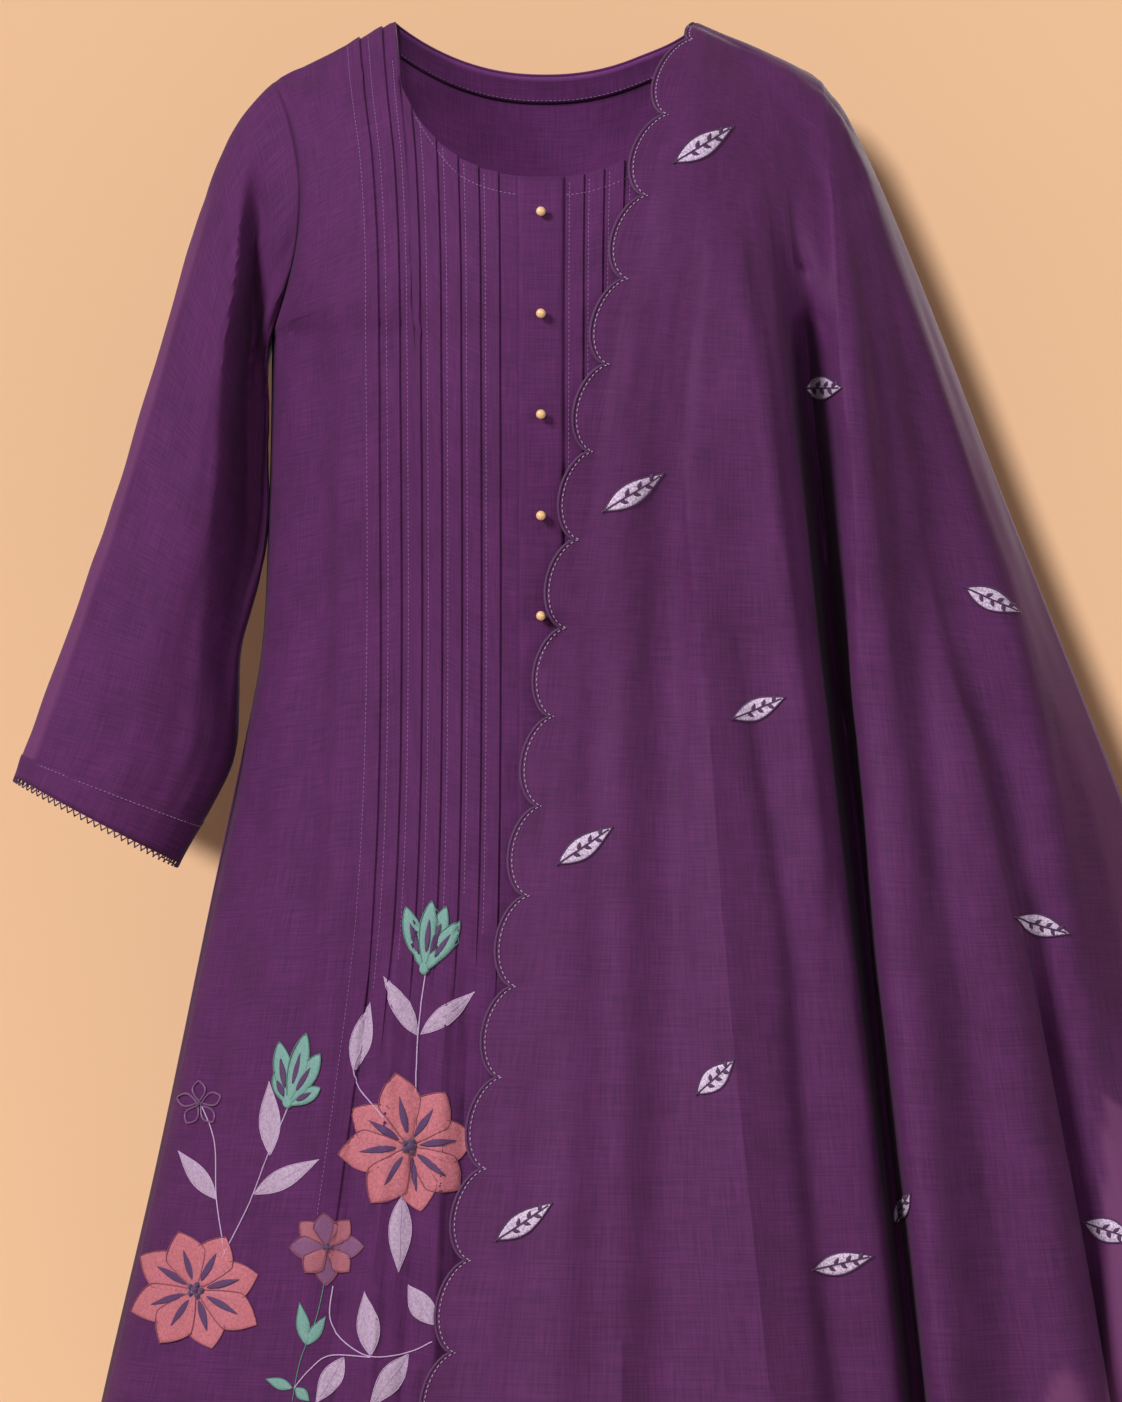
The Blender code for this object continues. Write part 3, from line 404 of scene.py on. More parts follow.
# How finely the cloth is divided
FRONT_ROWS = 190
BACK_LINES = 97
SIDE_LINES = 24
FACING_STEPS = 72
PLACKET_LINES = 14
SLEEVE_ROWS = 110
SLEEVE_RING = 112
SCALLOP_ROWS = 16
ARM_ROWS = 210
STATION_STEPS = 10
BACK_STEPS = 6

# Radii of the threads
TUCK_THREAD = 0.00022
SEWING_THREAD = 0.00025
EDGE_THREAD = 0.00034

# Painted light: a lighter colour stands in for light coming through a single layer, along the sleeves' outer
# line and the dupatta's, and in a strip at its low right with a scalloped top, with a rounded end beside it
SLEEVE_PAINTED_LIGHT = 0.55
SLEEVE_PAINTED_LIGHT_ANGLE = 34
SELVAGE_PAINTED_LIGHT = 0.36
SELVAGE_WIDTHS = (0.014, 0.030)  # at the chest and below the waist
SINGLE_LAYER_PAINTED_LIGHT = 0.7
SINGLE_X = 0.360
SINGLE_TOP_Z = -0.70
SINGLE_SCALLOP = 0.012
SINGLE_PITCH = 0.045
SINGLE_CUSP_X = 0.362
PALE_END_X = 0.333
PALE_END_Z = -0.925
PALE_END_WIDTH = 0.017
PALE_END_HEIGHT = 0.055

# The spray's petals, slits and knots
PETAL_LIFT = 0.0005
PETAL_STEP = 0.0003  # each petal above the one before
SLIT_HALF = 0.0026
SLIT_LIFT = 0.0015
BUD_LONG = 0.030
BUD_HALF = 0.0062
BUD_SHORT_HALF = 0.0050
BUD_SLIT_HALF = 0.0021
BUD_SLIT_LIFT = 0.0022
CUP_DROP = 0.0022
CUP_HEIGHT = 0.0094
CUP_HALF = 0.0034
CUP_LIFT = 0.0026
MIDRIB_LIFT = 0.0008
KNOT_LIFT = 0.0014

# Seams, hems and small lifts
TUCKS_SEWN_TO_Z = -0.58
NECK_SEWN = (-0.084, 0.056)
SEWING_STEP = 0.006
HEM_DEPTH = 0.022
HEM_REACH = 0.325
SEAM_EASE = 0.006
SEAM_SINK = 0.0007
FACING_DROP = 0.0012
FINE_WAVE = 0.0004
MOTIF_LIFT = 0.0007
THREAD_LIFT = 0.0004
SEWING_LIFT = 0.0001

trees = {}  # each cloth's surface, by its name


def clamp(value, low=0.0, high=1.0):
    return max(low, min(high, value))


def ease(value):
    """0 to 1 with a soft start and end."""
    value = clamp(value)
    return value * value * (3 - 2 * value)


def mix(a, b, share):
    return a + (b - a) * share


def bell(value):
    return math.exp(-value * value)


def soft_max(a, b, blend=0.004):
    return 0.5 * (a + b + math.sqrt((a - b) ** 2 + blend * blend))


@functools.lru_cache(maxsize=None)
def ordered(table, key):
    return tuple(sorted(table, key=lambda row: row[key]))


def along(table, value, column, key=0):
    """A table's column at a value of its key column, on a curve through the rows."""
    rows = ordered(tuple(table), key)
    value = clamp(value, rows[0][key], rows[-1][key])
    i = 0
    while i < len(rows) - 2 and value > rows[i + 1][key]:
        i += 1

    def slope(k):
        low, high = rows[max(k - 1, 0)], rows[min(k + 1, len(rows) - 1)]
        return (high[column] - low[column]) / (high[key] - low[key])

    step = rows[i + 1][key] - rows[i][key]
    t = (value - rows[i][key]) / step
    return (
        (2 * t**3 - 3 * t**2 + 1) * rows[i][column]
        + (t**3 - 2 * t**2 + t) * step * slope(i)
        + (3 * t**2 - 2 * t**3) * rows[i + 1][column]
        + (t**3 - t**2) * step * slope(i + 1)
    )


def body(name, z):
    return along(BODY, z, BODY_COLUMNS.index(name))


def armhole_share(z):
    """1 at the shoulder, 0 in the middle of the armhole and -1 at the underarm."""
    middle = (UNDERARM_Z - SHOULDER_DROP) / 2
    return clamp((z - middle) / (-SHOULDER_DROP - middle), -1, 1)


def half_width(z):
    if z < UNDERARM_Z:
        return body("half_width", z)
    share = armhole_share(z)
    return mix(UNDERARM_HALF, SHOULDER_HALF, (share + 1) / 2) - ARMHOLE_SCOOP * (1 - share * share)


def armhole_depth(z, deepest):
    if z < UNDERARM_Z:
        return 0.0
    return deepest * math.sqrt(1 - armhole_share(z) ** 2)


def shoulder_press(x):
    return SHOULDER_PRESS * ease((x - 0.06) / 0.035) * ease((0.165 - x) / 0.05)


def shoulder_z(x):
    return -SHOULDER_DROP * clamp((abs(x) - NECK_HALF) / (SHOULDER_HALF - NECK_HALF)) - shoulder_press(x)


def rise(drop, reach):
    """How far the cloth has rounded out at a drop below its upper edge, as a share."""
    share = clamp(drop / reach)
    return (1 - (1 - share) ** RISE_POWER) ** (1 / RISE_POWER)


def flutes(table, x, z):
    """How far the skirt's flutes stand out at a point."""
    width = half_width(z)
    total = 0.0
    for across, spread, height, start_z in table:
        growth = ease((start_z - z) / (start_z - KURTI_HEM_Z))
        away = (x / width - across) / spread
        total += height * growth * (bell(away) - 0.5 * bell(away / 2.2))
    return total


def panel_depth(x, z, front=True):
    """How far the kurti's front or back stands off the XZ plane."""
    share = clamp(abs(x) / half_width(z))
    reach = FRONT_RISE if front else BACK_RISE
    centre = body("front" if front else "back", min(z, UNDERARM_Z)) * rise(shoulder_z(x) - z, reach)
    edge = min(armhole_depth(z, ARMHOLE_FRONT if front else ARMHOLE_BACK), centre)
    crown = (1 - share**SECTION_POWER) ** (1 / SECTION_ROOT)
    return mix(edge, centre + flutes(FRONT_FLUTES if front else BACK_FLUTES, x, z), crown)


def neck_z(x, front=True):
    share = abs(x) / NECK_HALF
    if share >= 1:
        return shoulder_z(x)
    if front:
        drop = NECK_FRONT_DROP * (1 - share**NECK_FRONT_POWER) ** (1 / NECK_FRONT_POWER)
    else:
        drop = NECK_BACK_DROP * (1 - share**NECK_BACK_POWER)
    return -drop - shoulder_press(x)


def column_x(cut_x, z):
    """Where a line of the flat panel, named by its place across the shoulders, lies at a height."""
    inner = TUCK_ZONE * along(TUCK_FLARE, z, 1)
    if abs(cut_x) <= TUCK_ZONE:
        return cut_x / TUCK_ZONE * inner
    share = (abs(cut_x) - TUCK_ZONE) / (SHOULDER_HALF - TUCK_ZONE)
    return math.copysign(mix(inner, half_width(z), share), cut_x)


def raised_depth(x, z, front, lift):
    """The depth of a layer that lies on the kurti."""
    lower = min(z - lift, shoulder_z(x))
    nearer = math.copysign(max(abs(x) - lift, 0.0), x)
    return max(panel_depth(x, min(z, shoulder_z(x)), front), panel_depth(nearer, lower, front)) + lift


def panel_heights(rows):
    """Heights shared by the panels' lines, closest together round the armhole."""
    middle = (UNDERARM_Z - SHOULDER_DROP) / 2
    reach = -SHOULDER_DROP - middle
    upper = rows // 5
    heights = [middle + reach * math.cos(math.pi * k / upper) for k in range(upper + 1)]
    lower = rows - upper
    heights += [mix(UNDERARM_Z, KURTI_HEM_Z, k / lower) for k in range(1, lower + 1)]
    return heights


def column_line(cut, front, heights):
    """Points of one line down a panel, from its top edge to the hem."""
    top = 0.0
    for _ in range(8):
        top = neck_z(column_x(cut, top), front)
    points = []
    for z in heights:
        height = top + (z + SHOULDER_DROP) / (KURTI_HEM_Z + SHOULDER_DROP) * (KURTI_HEM_Z - top)
        if abs(cut) > SHOULDER_HALF - 1e-6:
            height = z
        x = column_x(cut, height)
        depth = panel_depth(x, height, front)
        points.append((x, -depth if front else depth, height))
    return points


def facing_tops():
    """Points (x, z) just under the back neck's edge."""
    for k in range(FACING_STEPS + 1):
        x = FACING_HALF * math.cos(math.pi * k / FACING_STEPS)
        yield x, min(neck_z(x, False), shoulder_z(x)) - FACING_DROP


def panel_point(x, z, lift, front=True):
    """A point that stands off a panel by its lift."""
    step = 0.0008
    across = (panel_depth(x + step, z, front) - panel_depth(x - step, z, front)) / (2 * step)
    down = (panel_depth(x, z + step, front) - panel_depth(x, z - step, front)) / (2 * step)
    outward = Vector((-across, 1, -down)).normalized() * lift
    point = Vector((x, panel_depth(x, z, front), z)) + outward
    if front:
        point.y = -point.y
    return point


def tuck_folds():
    """(cut position of each fold's edge, height where it ends), from the wearer's right to left."""
    folds = []
    for side in (-1, 1):
        for k, end_z in enumerate(TUCK_ENDS, 1):
            folds.append((PLACKET_X + side * (TUCK_FIRST + TUCK_PITCH * k + TUCK_SPREAD * k * k), end_z))
    return sorted(folds)


def front_cuts():
    """(cut position, tuck's share, height where it ends) of each line down the front."""
    folds = tuck_folds()
    lines = {}
    for i, (fold, end_z) in enumerate(folds):
        follows = i + 1 < len(folds) and folds[i + 1][0] - fold < 1.5 * TUCK_PITCH
        for away, share in TUCK_PROFILE:
            if share > 0.05 and away > 0 and not follows:
                share = 0.0
            ends = folds[i + 1][1] if away > 0.002 and follows else end_z
            lines[round(fold + away, 5)] = (share, ends)
        starts_run = i == 0 or fold - folds[i - 1][0] > 1.5 * TUCK_PITCH
        if starts_run:
            for away, share in ((-0.010, 0.05), (-0.006, 0.4), (-0.003, 0.72)):
                lines[round(fold + away, 5)] = (share, end_z)
    plain = [NECK_HALF / TUCK_FLARE[0][1] * side for side in (-1, 1)]
    plain += [PLACKET_X + PLACKET_WIDTH * (k / 6 - 0.5) for k in range(7)]
    for k in range(SIDE_LINES + 1):
        cut = mix(SHOULDER_HALF, TUCK_ZONE + 0.002, k / SIDE_LINES)
        plain += [-cut, cut]
    tucked = sorted(lines)
    for cut in plain:
        if all(abs(cut - other) > 0.0004 for other in lines):
            below = [other for other in tucked if other < cut][-1:]
            above = [other for other in tucked if other > cut][:1]
            if below and above and above[0] - below[0] < TUCK_PITCH:
                low, high = lines[below[0]], lines[above[0]]
                share = mix(low[0], high[0], (cut - below[0]) / (above[0] - below[0]))
                lines[cut] = (share, min(low[1], high[1]))
            else:
                lines[cut] = (0.0, 0.0)
    return [(cut, *lines[cut]) for cut in sorted(lines)]


@functools.lru_cache(maxsize=None)
def sleeve_value(name, share):
    place = share * (len(SLEEVE) - 1)
    rows = tuple((k, *row) for k, row in enumerate(SLEEVE))
    return along(rows, place, 1 + SLEEVE_COLUMNS.index(name))


def sleeve_point(side, share, angle):
    """A point of the sleeve. angle is 0 at its outermost line, 90 in front and 180 at the inner seam."""
    slim = LEFT_SLIM * bell((share - 0.24) / 0.22) if side > 0 else 0.0
    outer_x = sleeve_value("outer_x", share) - slim
    outer_z = sleeve_value("outer_z", share) - slim * 0.5
    inner_x, inner_z = sleeve_value("inner_x", share), sleeve_value("inner_z", share)
    cosine, sine = math.cos(math.radians(angle)), math.sin(math.radians(angle))
    along_ring = (1 + cosine) / 2
    scoop = sleeve_value("scoop", share) * (1 - cosine * cosine)
    deepest = sleeve_value("half_depth", share)
    if sine < 0:
        deepest = mix(ARMHOLE_BACK, deepest, clamp(share * 5))
    else:
        crease = sleeve_value("crease", share) * ease(
            (angle - sleeve_value("crease_angle", share) + CREASE_SPREAD) / (2 * CREASE_SPREAD)
        )
        deepest *= 1 - crease * (1 - 0.8 * ease((angle - 150) / 30))
    x = mix(inner_x, outer_x, along_ring) - scoop
    z = mix(inner_z, outer_z, along_ring)
    return Vector((side * x, -deepest * sine, z))


def outline_x(z):
    return along(DUPATTA_OUTLINE, z, 1)


def outline_z(x):
    return along(DUPATTA_OUTLINE, x, 0, key=1)


def sleeve_clear(x, z):
    """The depth of the left sleeve under the dupatta."""
    low = SLEEVE[-1][3]
    if x < half_width(z) - 0.004:
        return 0.0
    shown = ease((z - low) / 0.2 + 1.0)
    z = max(z, low)
    outer = along(tuple((row[1], row[0]) for row in SLEEVE), z, 1)
    if z > UNDERARM_Z:
        inner, edge = half_width(z), armhole_depth(z, ARMHOLE_BACK)
    else:
        inner, edge = along(tuple((row[3], row[2]) for row in SLEEVE), z, 1), 0.0
    middle, reach = (inner + outer) / 2, max((outer - inner) / 2, 0.001)
    round_depth = 0.052 * ease((SHOULDER_LEVEL - z) / 0.1) * math.sqrt(clamp(1 - ((x - middle) / reach) ** 2))
    toward = clamp((x - inner) / (2 * reach))
    return shown * max(round_depth, edge * math.sqrt(clamp(1 - toward * toward)))


def dupatta_top(x):
    return outline_z(min(x, TIP_X))


def line_distance(x, z):
    """How far a point lies inside the dupatta's outline."""
    beside, below = outline_x(z) - x, outline_z(x) - z
    if beside <= 0 or below <= 0:
        return 0.0
    return beside * below / math.hypot(beside, below)


def drape_depths(x, z, front):
    """The dupatta's plain drape and the least depth that clears the kurti, at a point."""
    inside = line_distance(x, z)
    full = body("front" if front else "back", min(z, UNDERARM_Z))
    full += mix(SPREAD_CHEST, SPREAD_HEM, ease((-0.2 - z) / 0.8))
    crown = (1 - clamp(abs(x) / outline_x(z)) ** DRAPE_POWER) ** 0.5
    radius = mix(RIDGE_AT_NECK, RIDGE_ON_ARM, ease((x - NECK_HALF) / (SHOULDER_HALF - NECK_HALF)))
    inner = min(inside, radius)
    plain = max(
        full * rise(dupatta_top(x) - z, FRONT_RISE if front else BACK_RISE) * crown,
        math.sqrt(2 * radius * inner - inner * inner),
    )
    under = 0.0
    if abs(x) < half_width(z) and z < shoulder_z(x) + LAY:
        under = raised_depth(x, z, front, LAY) + PLACKET_LIFT * bell((x - PLACKET_X) / PLACKET_WIDTH)
    if front:
        under += BUTTON_LIFT * bell(math.hypot(x - PLACKET_X, z - BUTTON_LAST_Z) / BUTTON_BUMP)
    under = max(under, sleeve_clear(x, z) + LAY, FOLD_FLOOR * ease((dupatta_top(x) - z) / 0.1))
    least = under * ease(inside / 0.006)
    return soft_max(plain, least) if inside > 0.006 else max(plain, least), least


def fold_value(row, name, z):
    """A fold's x, or how far it sinks or stands proud, at a height."""
    column = FOLD_COLUMNS.index
    if name == "x":
        start = row[column("x_start")]
        levels = (
            (DUPATTA_HEM_Z, row[column("x_hem")]),
            (WAIST_LEVEL, row[column("x_waist")]),
            (outline_z(start), start),
        )
        return along(levels, z, 1)
    growth = ease((FOLD_START_Z - z) / (FOLD_START_Z - FOLD_FULL_Z))
    down = clamp((WAIST_LEVEL - z) / (WAIST_LEVEL - DUPATTA_HEM_Z))
    return growth * mix(row[column(name + "_waist")], row[column(name + "_hem")], down)


def drape_point(x, z, sink, proud, front):
    plain, least = drape_depths(x, z, front)
    depth = max(mix(plain, least, sink) + proud, 0.0)
    return Vector((x, -depth if front else depth, z))


def edge_x(z, front):
    return along(DUPATTA_EDGE, z, 1 if front else 2)


def edge_point(z, inset, front):
    """A point near the dupatta's scalloped edge, which lies close on the kurti."""
    return drape_point(edge_x(z, front) + inset, z, 0.85 * ease((TOP_EASE - z) / 0.1), 0.0, front)


def edge_station(front):
    return edge_x(TOP_EASE, front) + BORDER_STEM, lambda z: edge_point(z, BORDER_STEM, front)


def outer_station(front):
    def outer_point(z):
        part = SELVAGE_PART * ease((CUFF_Z - z) / 0.1)
        return Vector((outline_x(z), -part if front else part, z))

    return OUTER_START, outer_point


def fold_stations(folds, front):
    stations = []
    for row in folds.values():

        def fold_line(z, row=row):
            x = fold_value(row, "x", z)
            return drape_point(x, z, fold_value(row, "sink", z), fold_value(row, "proud", z), front)

        stations.append((row[0], fold_line))
    return stations


def curve_through(points, steps):
    """Points on a smooth curve through the given ones."""
    made = []
    last = len(points) - 1
    for i in range(last):
        a, b, c, d = points[max(i - 1, 0)], points[i], points[i + 1], points[min(i + 2, last)]
        for k in range(steps):
            t = k / steps
            made.append(
                0.5
                * (2 * b + (c - a) * t + (2 * a - 5 * b + 4 * c - d) * t * t + (3 * b - a - 3 * c + d) * t**3)
            )
    made.append(points[-1])
    return made


def scallop_rows(front, hem_z):
    """(share of the way down, how far the border reaches out) of each row, with a row at every cusp."""
    start_x, line = edge_station(front)
    top, fine = outline_z(start_x), 500
    shares = [(i / fine) ** 1.9 for i in range(fine + 1)]
    points = [line(mix(top, hem_z, share)) for share in shares]
    gone = np.concatenate([[0.0], np.cumsum([(b.xz - a.xz).length for a, b in zip(points, points[1:])])])
    cusps = [0.0, SCALLOP_FIRST]
    while cusps[-1] < gone[-1]:
        cusps.append(cusps[-1] + SCALLOP_PITCH * (1 + SCALLOP_GROWTH * len(cusps)))
    rows = []
    for above, below in zip(cusps, cusps[1:]):
        for k in range(SCALLOP_ROWS):
            turn = k / SCALLOP_ROWS
            distance = mix(above, below, (1 - math.cos(math.pi * turn)) / 2)
            depth = SCALLOP_DEPTH * clamp((below - above) / SCALLOP_PITCH, 0, 1)
            if distance < gone[-1]:
                share = float(np.interp(distance, gone, shares))
                rows.append((share, depth * math.sin(math.pi * turn) ** 1.2))
    rows.append((1.0, rows[-1][1]))
    return rows


def fall_points(stations, shares, hem_z, steps=STATION_STEPS):
    """Rows of points down a fall, each line of it starting at its own height on the shoulder."""
    grid = []
    for share in shares:
        points = [line(mix(outline_z(start_x), hem_z, share)) for start_x, line in stations]
        grid.append(curve_through(points, steps))
    return np.array(grid)


# Cloth


def rumple(u, v, seed, across, down, height):
    """Soft uneven waves of cloth, in metres."""
    return height * noise.noise(Vector((u / across + seed, v / down, 0.7 * seed)))


def cloth_lengths(grid):
    """The length of cloth across and down to each point of a grid, for its UV map and waves."""
    across = np.linalg.norm(np.diff(grid, axis=1), axis=2).mean(axis=0)
    down = np.linalg.norm(np.diff(grid, axis=0), axis=2).mean(axis=1)
    u = np.concatenate([[0.0], np.cumsum(across)])
    v = np.concatenate([[0.0], np.cumsum(down)])
    return np.stack(np.meshgrid(u, -v), axis=2)


def relieved(grid, relief, facing):
    """The grid with each point moved out of the cloth by its relief."""
    normal = np.cross(np.gradient(grid, axis=1), np.gradient(grid, axis=0))
    normal /= np.maximum(np.linalg.norm(normal, axis=2, keepdims=True), 1e-12)
    return grid + normal * relief[:, :, None] * facing


def seen(x, y, z):
    """Where the camera sees a point, or a grid of them, on the plane Y = 0."""
    scale = CAMERA_AT.y / (CAMERA_AT.y - y)
    return CAMERA_AT.x + (x - CAMERA_AT.x) * scale, CAMERA_AT.z + (z - CAMERA_AT.z) * scale


def crease_relief(grid, creases):
    """The relief of the creases and folds that run down a grid."""
    x, z = seen(grid[:, :, 0], grid[:, :, 1], grid[:, :, 2])
    relief = np.zeros(x.shape)
    for line, height, left, right, fade, crisp in creases:
        low, high = line[-1][0], line[0][0]
        levels = np.linspace(low, high, 80)
        away = x - np.interp(z, levels, [along(line, level, 1) for level in levels])
        start, end = np.clip((high - z) / fade, 0, 1), np.clip((z - low) / fade + 1.0, 0, 1)
        reach = np.where(away > 0, away / right, -away / left)
        shape = np.exp(-reach) if crisp else np.exp(-reach * reach)
        relief += height * start * start * (3 - 2 * start) * end * shape
    return relief


def cloth(name, grid, material, facing, nodes, closed=False, painted_light_through=None):
    """A thin sheet of cloth on a grid of points, as a bmesh grid with its vertices moved."""
    rows, columns = grid.shape[:2]
    lengths = cloth_lengths(grid).reshape(-1, 2)
    mesh = bmesh.new()
    bmesh.ops.create_grid(mesh, x_segments=columns - 1, y_segments=rows - 1, size=1)
    if len(mesh.verts) != rows * columns:
        raise RuntimeError(f"{name}: the grid has {len(mesh.verts)} points, and not {rows * columns}")
    mesh.verts.ensure_lookup_table()
    mesh.verts.index_update()
    # Painted light: each point's share of the lighter colour that stands in for light coming through the
    # cloth
    painted_light_share = mesh.verts.layers.float.new("painted_light_through")
    for vert, point in zip(mesh.verts, grid.reshape(-1, 3)):
        vert.co = point
    if painted_light_through is not None:
        for vert, share in zip(mesh.verts, painted_light_through.reshape(-1)):
            vert[painted_light_share] = share
    weave = mesh.loops.layers.uv.new("weave")
    for face in mesh.faces:
        for loop in face.loops:
            loop[weave].uv = lengths[loop.vert.index]
    if facing < 0:
        bmesh.ops.reverse_faces(mesh, faces=mesh.faces)
    if closed:
        bmesh.ops.remove_doubles(mesh, verts=mesh.verts, dist=0.000001)
    data = bpy.data.meshes.new(name)
    mesh.to_mesh(data)
    mesh.free()
    data.shade_smooth()
    data.set_sharp_from_angle(angle=math.radians(38))
    data.materials.append(material)
    made = placed(name, data, nodes)
    shell = made.modifiers.new("thickness", "SOLIDIFY")
    shell.thickness = bpy.context.scene.kurti_sizes.cloth_thickness
    shell.offset = 0
    shell.use_quality_normals = True
    trees[name] = BVHTree.FromPolygons(
        [vert.co for vert in data.vertices], [tuple(face.vertices) for face in data.polygons]
    )
    return made


def placed(name, data, nodes=()):
    made = bpy.data.objects.new(name, data)
    bpy.context.scene.collection.objects.link(made)
    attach(made, "root")
    if nodes:
        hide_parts(*nodes)
    return made


def threads(name, runs, radius, material, nodes=(), sides=0):
    """Round threads or cords along runs of points."""
    curve = bpy.data.curves.new(name, "CURVE")
    curve.dimensions = "3D"
    curve.bevel_depth = radius
    curve.bevel_resolution = sides
    curve.use_fill_caps = True
    for run in runs:
        spline = curve.splines.new("POLY")
        spline.points.add(len(run) - 1)
        for point, place in zip(spline.points, run):
            point.co = (*place, 1)
    maker = bpy.data.objects.new(name + "_line", curve)
    bpy.context.scene.collection.objects.link(maker)
    graph = bpy.context.evaluated_depsgraph_get()
    data = bpy.data.meshes.new_from_object(maker.evaluated_get(graph))
    bpy.data.objects.remove(maker)
    bpy.data.curves.remove(curve)
    data.name = name
    data.shade_smooth()
    data.materials.clear()
    data.materials.append(material)
    return placed(name, data, nodes)


def laid(names, x, z, lift, back=False):
    """A point on the named cloths: where the camera sees (x, z), or straight in from behind."""
    found = None
    for aside in (0, 0.0015, -0.0015):
        if back:
            start, way = Vector((x + aside, 1, z)), Vector((0, -1, 0))
        else:
            start = CAMERA_AT
            way = (Vector((x + aside, 0, z)) - start).normalized()
        for name in names:
            place, normal, _, distance = trees[name].ray_cast(start, way)
            if place is not None and (found is None or distance < found[2]):
                found = (place, normal, distance)
        if found:
            break
    if found is None:
        raise RuntimeError(f"no cloth of {names} is at {x:.3f}, {z:.3f}")
    place, normal, _ = found
    if normal.dot(way) > 0:
        normal = -normal
    return place + normal * (lift + bpy.context.scene.kurti_sizes.cloth_thickness / 2)


def stitched(run, gap_share=1.0):
    """Short runs along a line of points: stitches with gaps between them."""
    sizes = bpy.context.scene.kurti_sizes
    length, gap = sizes.stitch_length, sizes.stitch_gap * gap_share
    ends = [0.0]
    for a, b in zip(run, run[1:]):
        ends.append(ends[-1] + (b - a).length)
    made = []
    start = gap / 2
    while start + length < ends[-1]:
        stitch = []
        for end in (start, start + length):
            stitch.append(Vector([float(np.interp(end, ends, [p[k] for p in run])) for k in range(3)]))
        made.append(stitch)
        start += length + gap
    return made


def lens_width(share):
    """Half width of a leaf along its length, as a share: pointed at both ends and widest near the middle."""
    return math.sin(math.pi * share**0.85) ** 1.15 if 0 < share < 1 else 0.0


def bud_width(share):
    """A bud's petal: narrow at the base, widest past the middle, with a sharp tip."""
    return math.sin(math.pi * share**1.25) ** 0.8 if 0 < share < 1 else 0.0


def petal_width(share):
    """A flower's petal: a wedge that widens outwards, then closes in to a short point."""
    if not 0 < share < 1:
        return 0.0
    return min(share / 0.58, 1.0) ** 0.75 * (1 - clamp((share - 0.50) / 0.50) ** 2.0)


def motif_axes(base, tip):
    """A motif's base, its way to the tip and the way to its left."""
    base = Vector(base)
    axis = Vector(tip) - base
    return base, axis, Vector((-axis.y, axis.x)).normalized()


def patch(mesh, under, base, tip, half, lift, width_at=lens_width, back=False, steps=14, across=4):
    """Adds a flat motif from base to tip, laid on the cloth, with its rim turned down."""
    base, axis, side = motif_axes(base, tip)
    made = bmesh.ops.create_grid(mesh, x_segments=steps, y_segments=2 * across, size=1)
    for vert in made["verts"]:
        share, spread = (vert.co.x + 1) / 2, vert.co.y
        share = 0.5 - 0.5 * math.cos(math.pi * share)
        place = base + axis * share + side * half * width_at(share) * spread
        rim = min(1.0, 4 * (1 - abs(spread)), 12 * min(share, 1 - share))
        vert.co = laid(under, place.x, place.y, lift * mix(0.25, 1.0, ease(rim)), back)
    if back:
        faces = {face for vert in made["verts"] for face in vert.link_faces}
        bmesh.ops.reverse_faces(mesh, faces=list(faces))


def outline(under, base, tip, half, lift, width_at=lens_width, back=False, steps=16):
    """The line round a motif."""
    base, axis, side = motif_axes(base, tip)
    run = []
    for spread, shares in ((1, range(steps + 1)), (-1, range(steps - 1, 0, -1))):
        for k in shares:
            share = 0.5 - 0.5 * math.cos(math.pi * k / steps)
            place = base + axis * share + side * (half * width_at(share)) * spread
            run.append(laid(under, place.x, place.y, lift, back))
    return run


def line_on(under, points, lift, back=False, steps=8):
    """A smooth line on the cloth through points of the plane Y = 0."""
    return [laid(under, p.x, p.y, lift, back) for p in curve_through([Vector(p) for p in points], steps)]


def bmesh_piece(name, mesh, material, nodes=()):
    bmesh.ops.remove_doubles(mesh, verts=mesh.verts, dist=0.00001)
    data = bpy.data.meshes.new(name)
    mesh.to_mesh(data)
    mesh.free()
    data.shade_smooth()
    data.materials.append(material)
    return placed(name, data, nodes)


# Materials


def linear(code):
    """An sRGB hex value as linear red, green and blue."""
    parts = [int(code[i : i + 2], 16) / 255 for i in (1, 3, 5)]
    return tuple(c / 12.92 if c <= 0.04045 else ((c + 0.055) / 1.055) ** 2.4 for c in parts)


def add_node(material, kind, links=(), values=(), **settings):
    """Adds a node with its settings, its sockets' values and the links into it."""
    made = material.node_tree.nodes.new(kind)
    for name, value in settings.items():
        setattr(made, name, value)
    for socket, value in dict(values).items():
        made.inputs[socket].default_value = value
    for socket, source in dict(links).items():
        material.node_tree.links.new(source, made.inputs[socket])
    return made


def new_material(name):
    """A material and its shader, or no shader where the material is already finished."""
    material = bpy.data.materials.get(name)
    if material is not None:
        return material, None
    material = bpy.data.materials.new(name)
    material.use_nodes = True
    return material, material.node_tree.nodes["Principled BSDF"]


